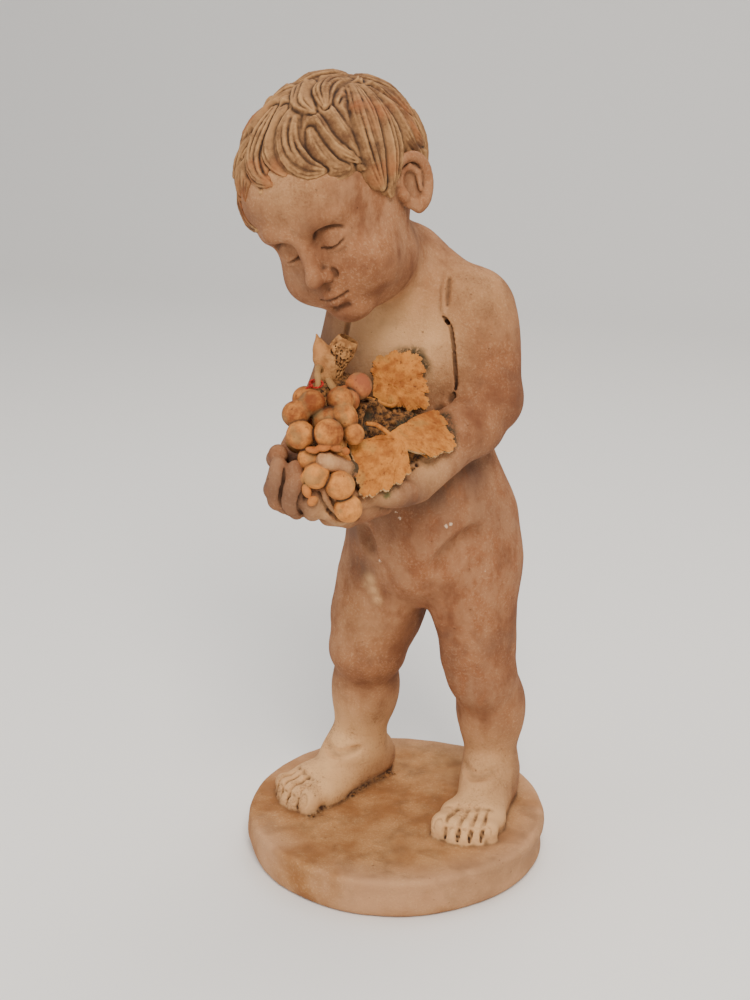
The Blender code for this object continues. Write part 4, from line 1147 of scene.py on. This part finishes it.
def model_hair(clay):
    """The cap of clay with its tiers of locks, whose roots start at the whorl."""
    clay.frame = head_frame()
    clay.egg(SKULL_MIDDLE, HAIR_RADII - CAP_INSET)
    for around in np.arange(-180, 180, 8.0):
        points, out = on_hair(np.full(6, around), hairline(around) * np.linspace(0.1, 0.95, 6))
        clay.strip(points - COIL * out, [COIL] * 6, soft=3)
    rng = np.random.default_rng(23)
    for first, last, count in ((0.60, 1.03, 26), (0.34, 0.80, 18), (0.05, 0.52, 11)):
        for n in range(count):
            heading = 360.0 * (n + rng.uniform(0.35, 0.65)) / count
            away = np.arange(4.0, 175.0, 2.0)
            around, down = from_whorl(np.full(len(away), heading), away)
            end = away[np.argmax(down > hairline(around))]
            in_front = abs(around[np.argmax(down > hairline(around))]) < 80
            share = np.linspace(first, min(last, 0.93 if in_front else 1.1) + rng.uniform(-0.05, 0.03), 5)
            bend = np.array((0, 1, 0, -1, 0)) * rng.uniform(2, 5) * (-1) ** n
            swirl = bend * 60.0 / (20.0 + share * end) + 10.0 * share
            around, down = from_whorl(heading + swirl, share * end)
            way = np.stack([np.degrees(np.unwrap(np.radians(around))), down], 1)
            model_lock(clay, way, rng.uniform(7.5, 9.5), rng.uniform(2.4, 3.4), rng)
    for width, rise, path in FRONT_LOCKS:
        model_lock(clay, path, width, rise, rng)
    clay.frame = Matrix.Identity(4)


around, down = np.meshgrid(np.arange(-180, 180, 10), np.arange(0, 140, 10))
hair_box = [head_frame() @ Vector(p) for p in on_hair(around, down)[0].reshape(-1, 3)]
clay = clay_round(hair_box, 10.0, 0.62 * fineness)
model_hair(clay)
clay.field += 0.16 * clay.swell(9.0, 4)
HAIR_TRIANGLES = 190000
hair_mesh, pose = skin_mesh("putto_hair", clay, HAIR_TRIANGLES)
# How hollow the hair is, finely and widely; the colour turns these into painted shade in the grooves and
# hollows and a painted highlight on the ridges
fine, wide = clay.sunken(pose, 1.6), clay.sunken(pose, 4.5)
paint(hair_mesh, "groove", (fine - 0.50) * 7.0)
paint(hair_mesh, "ridge", (0.46 - fine) * 6.0)
paint(hair_mesh, "shelter", (wide - 0.54) * 5.0)

material, shader, shade = dry_material("combed_clay")
cloud = shade.noise(16.0, 5.0, 0.6)
mottle = shade.noise(70.0, 6.0, 0.62)
grain = shade.noise(480.0, 4.0, 0.6)
tone = cloud * 0.40 + mottle * 0.40 + grain * 0.20
rusty = shade.noise(24.0, 3.0, 0.5).step(0.52, 0.66)
# The hair's colour: a random tone with rusty patches, a painted highlight on the crests of the locks,
# painted shade in the wide hollows and darker painted shade in the grooves
colour = shade.colour(tone.step(0.40, 0.60), linear(96, 62, 36), linear(150, 108, 68)).coated(
    (shade.painted("ridge") * mottle.step(0.35, 0.55) * 0.7, 184, 140, 90),
    (rusty * 0.5, 144, 78, 40),
    (shade.painted("shelter") * 0.55, 92, 56, 32),
    (shade.painted("groove") * mottle.step(0.05, 0.40), 46, 28, 16),
)
finish_surface(shader, shade, colour, 0.78 + 0.16 * mottle, grain * 0.5 + mottle * 0.8, 0.0007)
hair = place_piece("putto_hair", hair_mesh, material)
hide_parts("putto")
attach(hair, "root")


# The bunch: balls of orange clay rolled by hand and pressed together, some in pairs, hung from two rolled
# stalks. It was fired with the figure and lies in the hands.
GRAPE_SIZE = 9.75
# Each grape's middle and its share of the usual size; the pairs pressed together; each stalk's path and
# radius; the middle, radii and turn of each shard of clay left between the grapes
GRAPES = (
    (-24, -131, 360, 0.90), (-15, -122, 367, 0.86), (-25, -113, 367, 0.88), (-1, -108, 367, 0.90),
    (6, -116, 357, 0.90), (-17, -138, 348, 1.02), (2, -134, 350, 1.02), (-11, -136, 332, 0.88),
    (-4, -142, 322, 0.94), (11, -136, 315, 1.04), (15, -132, 298, 1.02), (4, -86, 372, 0.97),
    (14, -119, 347, 0.76), (-26, -122, 339, 0.92), (1, -97, 364, 0.80), (-6, -120, 354, 1.00),
    (-2, -118, 338, 1.00), (4, -122, 326, 0.94), (-10, -130, 319, 0.86), (-27, -110, 350, 1.00),
    (1, -104, 352, 0.94),
)
FUSED_GRAPES = (((-24, -131, 360), (-15, -122, 367)), ((-1, -108, 367), (6, -116, 357)))
STALKS = (
    ([(-28, -75, 378), (-26, -87, 383), (-21, -100, 382), (-18, -106, 376), (-18, -108, 369)], 1.9),
    ([(-27, -73, 377), (-21, -79, 371), (-14, -86, 368), (-7, -91, 368), (-1, -89, 371)], 2.1),
)
SHARDS = (
    ((-6, -143, 340), (5.0, 3.0, 2.2), (0, 10, 20)), ((1, -141, 342), (5.5, 3.4, 2.4), (20, -8, 10)),
    ((8, -136, 341), (4.6, 3.0, 2.6), (0, 20, 40)), ((13, -131, 338), (3.0, 2.4, 3.2), (30, 0, 0)),
    ((-12, -145, 320), (2.6, 2.8, 5.0), (0, 20, 0)), ((-9, -147, 312), (3.2, 2.6, 5.0), (0, -20, 10)),
    ((-5, -146, 305), (4.4, 2.6, 3.2), (0, -40, 0)), ((-4, -93, 371), (4.6, 3.0, 2.4), (0, -20, 10)),
    ((1, -93, 375), (4.0, 2.6, 3.4), (10, 20, 0)),
)
bunch_box = [grape[:3] for grape in GRAPES] + [p for path, _ in STALKS for p in path]
clay = clay_round(bunch_box, 13.0, 0.5 * fineness)
rng = np.random.default_rng(8)
for x, y, z, share in GRAPES:
    radii = share * GRAPE_SIZE * rng.uniform(0.97, 1.03, 3)
    clay.egg((x, y, z), radii, turn=rng.uniform(0, 180, 3), soft=1.2)
for one, other in FUSED_GRAPES:
    clay.limb(one, other, 6.6, 6.2, soft=5)
clay.laying = STALK
for path, radius in STALKS:
    path = through(path, 14)
    clay.strip(path, radius * (1 + 0.12 * np.sin(np.arange(14) * 1.9)), soft=1.5)
clay.laying = SHARD
for middle, radii, turn in SHARDS:
    clay.egg(middle, radii, turn=turn, soft=1.0)
clay.field += 0.16 * clay.swell(5.0, 3) + 0.07 * clay.swell(1.8, 4)
BUNCH_TRIANGLES = 120000
bunch_mesh, pose = skin_mesh("clay_grapes", clay, BUNCH_TRIANGLES)
away = np.stack([np.linalg.norm(pose - grape[:3], axis=1) / grape[3] for grape in GRAPES], 1)
own_tone = [np.clip((365 - grape[2]) / 60, 0, 1) * 0.7 + rng.uniform(0, 0.3) for grape in GRAPES]
paint(bunch_mesh, "own_tone", np.array(own_tone)[away.argmin(1)])
paint(bunch_mesh, "pink", near_spots(pose, ((4, -86, 372, 12, 1.0),)))
paint(bunch_mesh, "stalk", clay.read(clay.kind == STALK, pose))
paint(bunch_mesh, "shard", clay.read(clay.kind == SHARD, pose))
# How hollow the bunch is between its grapes; the colour darkens there as painted shade
fine, wide = clay.sunken(pose, 1.5), clay.sunken(pose, 4.0)
paint(bunch_mesh, "groove", (fine - 0.53) * 5.0)
paint(bunch_mesh, "shelter", (wide - 0.46) * 3.6)

material, shader, shade = dry_material("orange_clay_grapes")
cloud = shade.noise(60.0, 4.0, 0.6)
mottle = shade.noise(150.0, 5.0, 0.6)
grain = shade.noise(700.0, 3.0, 0.6)
tone = cloud * 0.35 + mottle * 0.35 + grain * 0.10 + shade.painted("own_tone") * 0.20
# Painted shade: darker brown where grapes, stalks and shards meet and in the hollows between them
gap_shade = shade.math("ADD", shade.painted("groove") * 0.8, shade.painted("shelter") * 0.9, clamp=True)
green = shade.noise(90.0, 3.0, 0.5).step(0.50, 0.66)
pits = shade.noise(380.0, 1.0, 0.5).step(0.27, 0.22)
colour = shade.colour(tone.step(0.34, 0.64), linear(118, 58, 22), linear(208, 136, 66)).coated(
    (shade.painted("pink") * 0.8, 172, 98, 66),
    (shade.painted("shard") * cloud.step(0.2, 0.6) * 0.7, 166, 92, 42),
    (shade.painted("stalk") * 0.9, 156, 116, 70),
    (gap_shade * mottle.step(0.05, 0.5), 70, 42, 24),
    (green * 0.45, 126, 104, 66),
    (pits * 0.6, 104, 58, 34),
)
height = grain * 0.35 + mottle * 0.6 - pits * 0.6
finish_surface(shader, shade, colour, 0.74 + 0.18 * mottle, height, 0.0009)
bunch = place_piece("clay_grapes", bunch_mesh, material)
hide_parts("grape_bunch")
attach(bunch, "root")


# The two vine leaves: thin slabs of coarse orange clay, torn and notched at the edge, each with a rolled
# tendril. They were stuck to the chest and over the left hand before the firing.
def clouds(points, size, seed):
    """Smooth random values from -1 to 1 in space: random values at the corners of cubes of the given size,
    carried between the corners by a smooth step."""
    place = points / size + 100.0
    cell = np.floor(place).astype(np.int64)
    share = place - cell
    share = share * share * (3 - 2 * share)
    total = np.zeros(len(points))
    for corner in range(8):
        bits = np.array([corner >> k & 1 for k in range(3)])
        weight = np.prod(np.where(bits, share, 1 - share), axis=1)
        mixed = ((cell + bits) * (73856093, 19349663, 83492791)).sum(1) + seed * 2654435761
        mixed = (mixed ^ (mixed >> 13)) * 1274126177 & 0x7FFFFFFF
        total += weight * ((mixed ^ (mixed >> 16)) % 65536 / 32767.5 - 1)
    return total


def closed_grid(grid):
    """Points and faces of a grid whose columns run round and whose first and last rows are each drawn
    together to one point, turned so that its faces look outward."""
    rows, columns = grid.shape[:2]
    points = np.concatenate([grid.reshape(-1, 3), [grid[0].mean(0)], [grid[-1].mean(0)]])
    faces = grid_faces(rows, columns)
    faces = np.concatenate([faces[:, [0, 1, 2]], faces[:, [0, 2, 3]]])
    ring = np.arange(columns)
    near = np.stack([np.full(columns, rows * columns), np.roll(ring, -1), ring], 1)
    far = np.stack([np.full(columns, rows * columns + 1), ring, np.roll(ring, -1)], 1)
    far[:, 1:] += (rows - 1) * columns
    faces = np.concatenate([faces, near, far])
    a, b, c = (points[faces[:, k]] for k in range(3))
    if (a * np.cross(b, c)).sum() < 0:
        faces = faces[:, ::-1]
    return points, faces


def rolled(path, radii, sides=18, rough=0.15, seed=0):
    """A bar rolled from clay: rings across a smooth path, a little uneven, closed at both ends."""
    path = through(path, 6 * len(path))
    radii = np.interp(np.linspace(0, 1, len(path)), np.linspace(0, 1, len(radii)), radii)
    ahead = np.gradient(path, axis=0)
    ahead /= np.linalg.norm(ahead, axis=1)[:, None]
    across = np.cross(ahead, (1.0, 0.2, 0.1))
    across /= np.linalg.norm(across, axis=1)[:, None]
    upward = np.cross(across, ahead)
    turn = 2 * np.pi * np.arange(sides) / sides
    circle = np.cos(turn)[:, None] * across[:, None] + np.sin(turn)[:, None] * upward[:, None]
    grid = path[:, None] + radii[:, None, None] * circle
    grid += circle * (rough * clouds(grid.reshape(-1, 3), 1.6, seed).reshape(grid.shape[:2]))[..., None]
    return closed_grid(grid)


def leaf_edge(rib, outline, seed):
    """The torn edge: each stretch of the outline carries a saw tooth, steep on one side, and small random
    breaks, both along the way out from the ribs."""
    edge = []
    count = 26
    share = np.arange(count) / count
    saw = np.interp(share, (0, 0.42, 0.62, 1), (0, 1, -0.1, 0)) + 0.16 * np.sin(share * 28)
    for here, there in zip(outline, outline[1:] + outline[:1]):
        tooth = LEAF_TOOTH * here[3] + 0.25
        here, there = np.array(here[:3], float), np.array(there[:3], float)
        along = there - here
        out = (here + there) / 2 - rib
        out -= along * (out @ along) / (along @ along)
        out /= np.linalg.norm(out)
        stretch = here + along * share[:, None]
        torn = 0.55 * clouds(stretch, 2.2, seed) + 0.3 * clouds(stretch, 0.9, seed + 1)
        edge.append(stretch + out * (tooth * saw + torn)[:, None])
    return np.concatenate(edge)


FACE_ROWS = 44
BACK_ROWS = 16


def leaf_mesh(name, rib, outline, tendril, ribs, seed):
    """A leaf as one closed sheet: rows run out over its face, round the edge and back under it, columns run
    round. Its face is lifted in a low arch between the ribs' meeting and the edge, with ribs that stand up
    as bell curves, and pits and grains from random values."""
    rib = np.array(rib, float)
    edge = leaf_edge(rib, outline, seed)
    spokes = edge - rib
    facing = np.cross(spokes, np.roll(spokes, -1, axis=0)).sum(0)
    facing *= -1 / np.linalg.norm(facing)
    face, back = np.linspace(0.03, 0.988, FACE_ROWS), np.linspace(0.97, 0.05, BACK_ROWS)
    out = np.concatenate([face, [0.997, 1.0, 1.0, 0.99], back])
    level = np.concatenate([np.ones(FACE_ROWS), [0.80, 0.4, -0.5, -0.85], -np.ones(BACK_ROWS)])
    arch = 1.2 * np.interp(out, (0, 0.55, 1), (0, 1, 0))
    grid = rib + spokes * out[:, None, None]
    flat = grid.reshape(-1, 3)
    stood = np.zeros(len(flat))
    for x, y, z in ribs:
        way = np.array((x, y, z), float) - rib
        share = np.clip((flat - rib) @ way / (way @ way), 0, 1)
        off = np.linalg.norm(flat - rib - share[:, None] * way, axis=1)
        stood = np.maximum(stood, (0.75 - 0.45 * share) * np.exp(-(off / 1.1) ** 2))
    grains = 0.30 * clouds(flat, 3.6, seed + 2) + 0.20 * clouds(flat, 1.2, seed + 3)
    pits = np.clip(clouds(flat, 1.5, seed + 4) - 0.58, 0, 1)
    relief = (stood + grains - 1.3 * pits).reshape(grid.shape[:2])
    half = LEAF_HALF * (1 - 0.35 * np.clip((out - 0.8) / 0.2, 0, 1))
    lift = arch[:, None] + (half * level)[:, None] + relief * np.where(level > 0, level, 0)[:, None]
    grid = grid + facing * lift[..., None]
    points, faces = closed_grid(grid)
    stem_points, stem_faces = rolled(tendril, [1.9, 1.6, 1.5, 1.3], seed=seed)
    mesh = quad_mesh(name, to_metres(np.concatenate([points, stem_points])),
                     np.concatenate([faces, stem_faces + len(points)]))
    broken = np.repeat(((out > 0.985) & (level < 0.9)) * 1.0, len(edge))
    rest = np.zeros(len(stem_points) + 2)
    paint(mesh, "pit", np.concatenate([pits * 3.0, rest]))
    paint(mesh, "rim", np.concatenate([broken, rest]))
    return mesh


material, shader, shade = dry_material("torn_orange_clay")
cloud = shade.noise(34.0, 4.0, 0.6)
mottle = shade.noise(170.0, 5.0, 0.65)
grain = shade.noise(800.0, 3.0, 0.6)
tone = cloud * 0.45 + mottle * 0.55
colour = shade.colour(tone.step(0.36, 0.62), linear(142, 78, 28), linear(190, 122, 54)).coated(
    (shade.noise(52.0, 3.0, 0.5).step(0.60, 0.70) * 0.45, 158, 118, 62),
    (shade.painted("pit") * 0.85, 96, 50, 26),
)
broken = shade.colour(mottle.step(0.40, 0.56), linear(50, 48, 34), linear(196, 160, 112))
colour = shade.colour(shade.painted("rim") * 0.9, colour, broken)
finish_surface(shader, shade, colour, 0.80 + 0.15 * mottle, grain * 0.5 + mottle * 1.0, 0.0008)
for node, rib, outline, tendril, ribs, seed in (
        ("vine_leaf_upper", UPPER_RIB, UPPER_LEAF, UPPER_TENDRIL, UPPER_LEAF_RIBS, 31),
        ("vine_leaf_lower", LOWER_RIB, LOWER_LEAF, LOWER_TENDRIL, LOWER_LEAF_RIBS, 47)):
    mesh = leaf_mesh(node + "_torn", rib, outline, tendril, ribs, seed)
    leaf = place_piece(node + "_torn", mesh, material)
    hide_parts(node)
    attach(leaf, "root")


# The stub of vine: a short hollow piece of netted, corky clay with a pointed flap, stuck up behind the
# bunch, its pores pressed in one by one.
STUB_PATH = [(-28, -70, 368), (-26, -69, 376), (-22, -67, 384), (-18, -65, 391), (-15, -64, 396)]
STUB_RADII = (7.4, 9.0, 8.4, 8.8, 8.4)
STUB_HOLLOW = [(-20, -66, 387), (-17, -65, 393), (-12, -63, 402)]
FLAP_PATH = [(-26, -72, 378), (-29, -73, 387), (-31, -73, 394), (-34, -72, 403)]
FLAP_CORNER = (-36, -76, 403)
STUB_RINGS = 60
PORES = 420
PORE_RADII = (0.65, 0.65, 1.1)
STUB_TRIANGLES = 60000
clay = clay_round(STUB_PATH + STUB_HOLLOW + [FLAP_CORNER], 12.0, 0.45 * fineness)
clay.strip(STUB_PATH, STUB_RADII, soft=3)
clay.strip(FLAP_PATH, [7.5, 6.6, 4.6, 0.7], soft=3)
clay.strip(STUB_HOLLOW, [3.0, 5.8, 7.0], soft=0.8, cut=True)
rng = np.random.default_rng(19)
way = through(STUB_PATH, STUB_RINGS)
for _ in range(PORES):
    at = rng.integers(6, STUB_RINGS - 2)
    turn = rng.uniform(0, 2 * np.pi)
    side = np.array((np.cos(turn), np.sin(turn), 0.0))
    along = way[at + 1] - way[at]
    side -= along * (side @ along) / (along @ along)
    radius = np.interp(at / (STUB_RINGS - 1), np.linspace(0, 1, len(STUB_RADII)), STUB_RADII)
    clay.egg(way[at] + side / np.linalg.norm(side) * radius, PORE_RADII, soft=0.4, cut=True)
clay.field += 0.20 * clay.swell(3.0, 6)
stub_mesh, pose = skin_mesh("netted_stub", clay, STUB_TRIANGLES)
# How hollow the stub is; its colour darkens in the pores and the hollow end as painted shade
paint(stub_mesh, "groove", (clay.sunken(pose, 1.2) - 0.50) * 4.5)
paint(stub_mesh, "flap", near_spots(pose, ((-31, -76, 392, 9, 1.0), (-28, -80, 382, 7, 1.0))))

material, shader, shade = dry_material("netted_clay")
mottle = shade.noise(190.0, 5.0, 0.65)
grain = shade.noise(800.0, 3.0, 0.6)
colour = shade.colour(mottle.step(0.35, 0.65), linear(124, 80, 42), linear(180, 128, 76)).coated(
    (shade.painted("flap") * 0.7, 180, 120, 70),
    # painted shade in the pores and the hollow end
    (shade.painted("groove"), 62, 40, 24),
)
finish_surface(shader, shade, colour, 0.84 + 0.12 * mottle, grain * 0.5 + mottle * 1.0, 0.0007)
stub = place_piece("netted_stub", stub_mesh, material)
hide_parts("vine_stub")
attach(stub, "root")


# The thread: two strands of red cotton twisted together, wound round the foot of a stalk, with a short
# loose end.
THREAD_MIDDLE = np.array((-18.5, -108.0, 376.5))
THREAD_RING = 4.4
THREAD_RISE = 0.26
STRAND = 0.42
turn = np.linspace(0, 3.4 * np.pi, 60)
tilt = np.array(Euler(np.radians((18.0, 0.0, 25.0))).to_matrix())
wound = np.stack([THREAD_RING * np.cos(turn), THREAD_RING * np.sin(turn), -1.4 + THREAD_RISE * turn], 1)
wound = wound @ tilt.T + THREAD_MIDDLE
steps = np.array([(-1.2, -1.0, -0.2), (-1.4, -0.9, -0.5), (-1.5, -0.7, -0.9), (-1.4, -0.5, -1.1)])
loose = wound[-1] + np.cumsum(steps, 0)
core = through(np.concatenate([wound[::4], loose]), 120)
parts, faces, start = [], [], 0
for half_turn in (0.0, np.pi):
    twist = np.arange(len(core)) * 0.55 + half_turn
    strand = core + STRAND * np.stack([np.cos(twist), 0 * twist, np.sin(twist)], 1)
    points, corners = rolled(strand, [STRAND, STRAND], sides=6, rough=0.05, seed=5)
    parts.append(points)
    faces.append(corners + start)
    start += len(points)
thread_mesh = quad_mesh("red_thread", to_metres(np.concatenate(parts)), np.concatenate(faces))
material, shader, shade = dry_material("red_cotton")
fibre = shade.noise(900.0, 3.0, 0.6)
colour = shade.colour(fibre.step(0.3, 0.7), linear(120, 18, 14), linear(196, 44, 34))
finish_surface(shader, shade, colour, 0.7 + 0.2 * fibre, fibre, 0.0003)
thread = place_piece("red_thread", thread_mesh, material)
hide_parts("thread_tie")
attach(thread, "root")
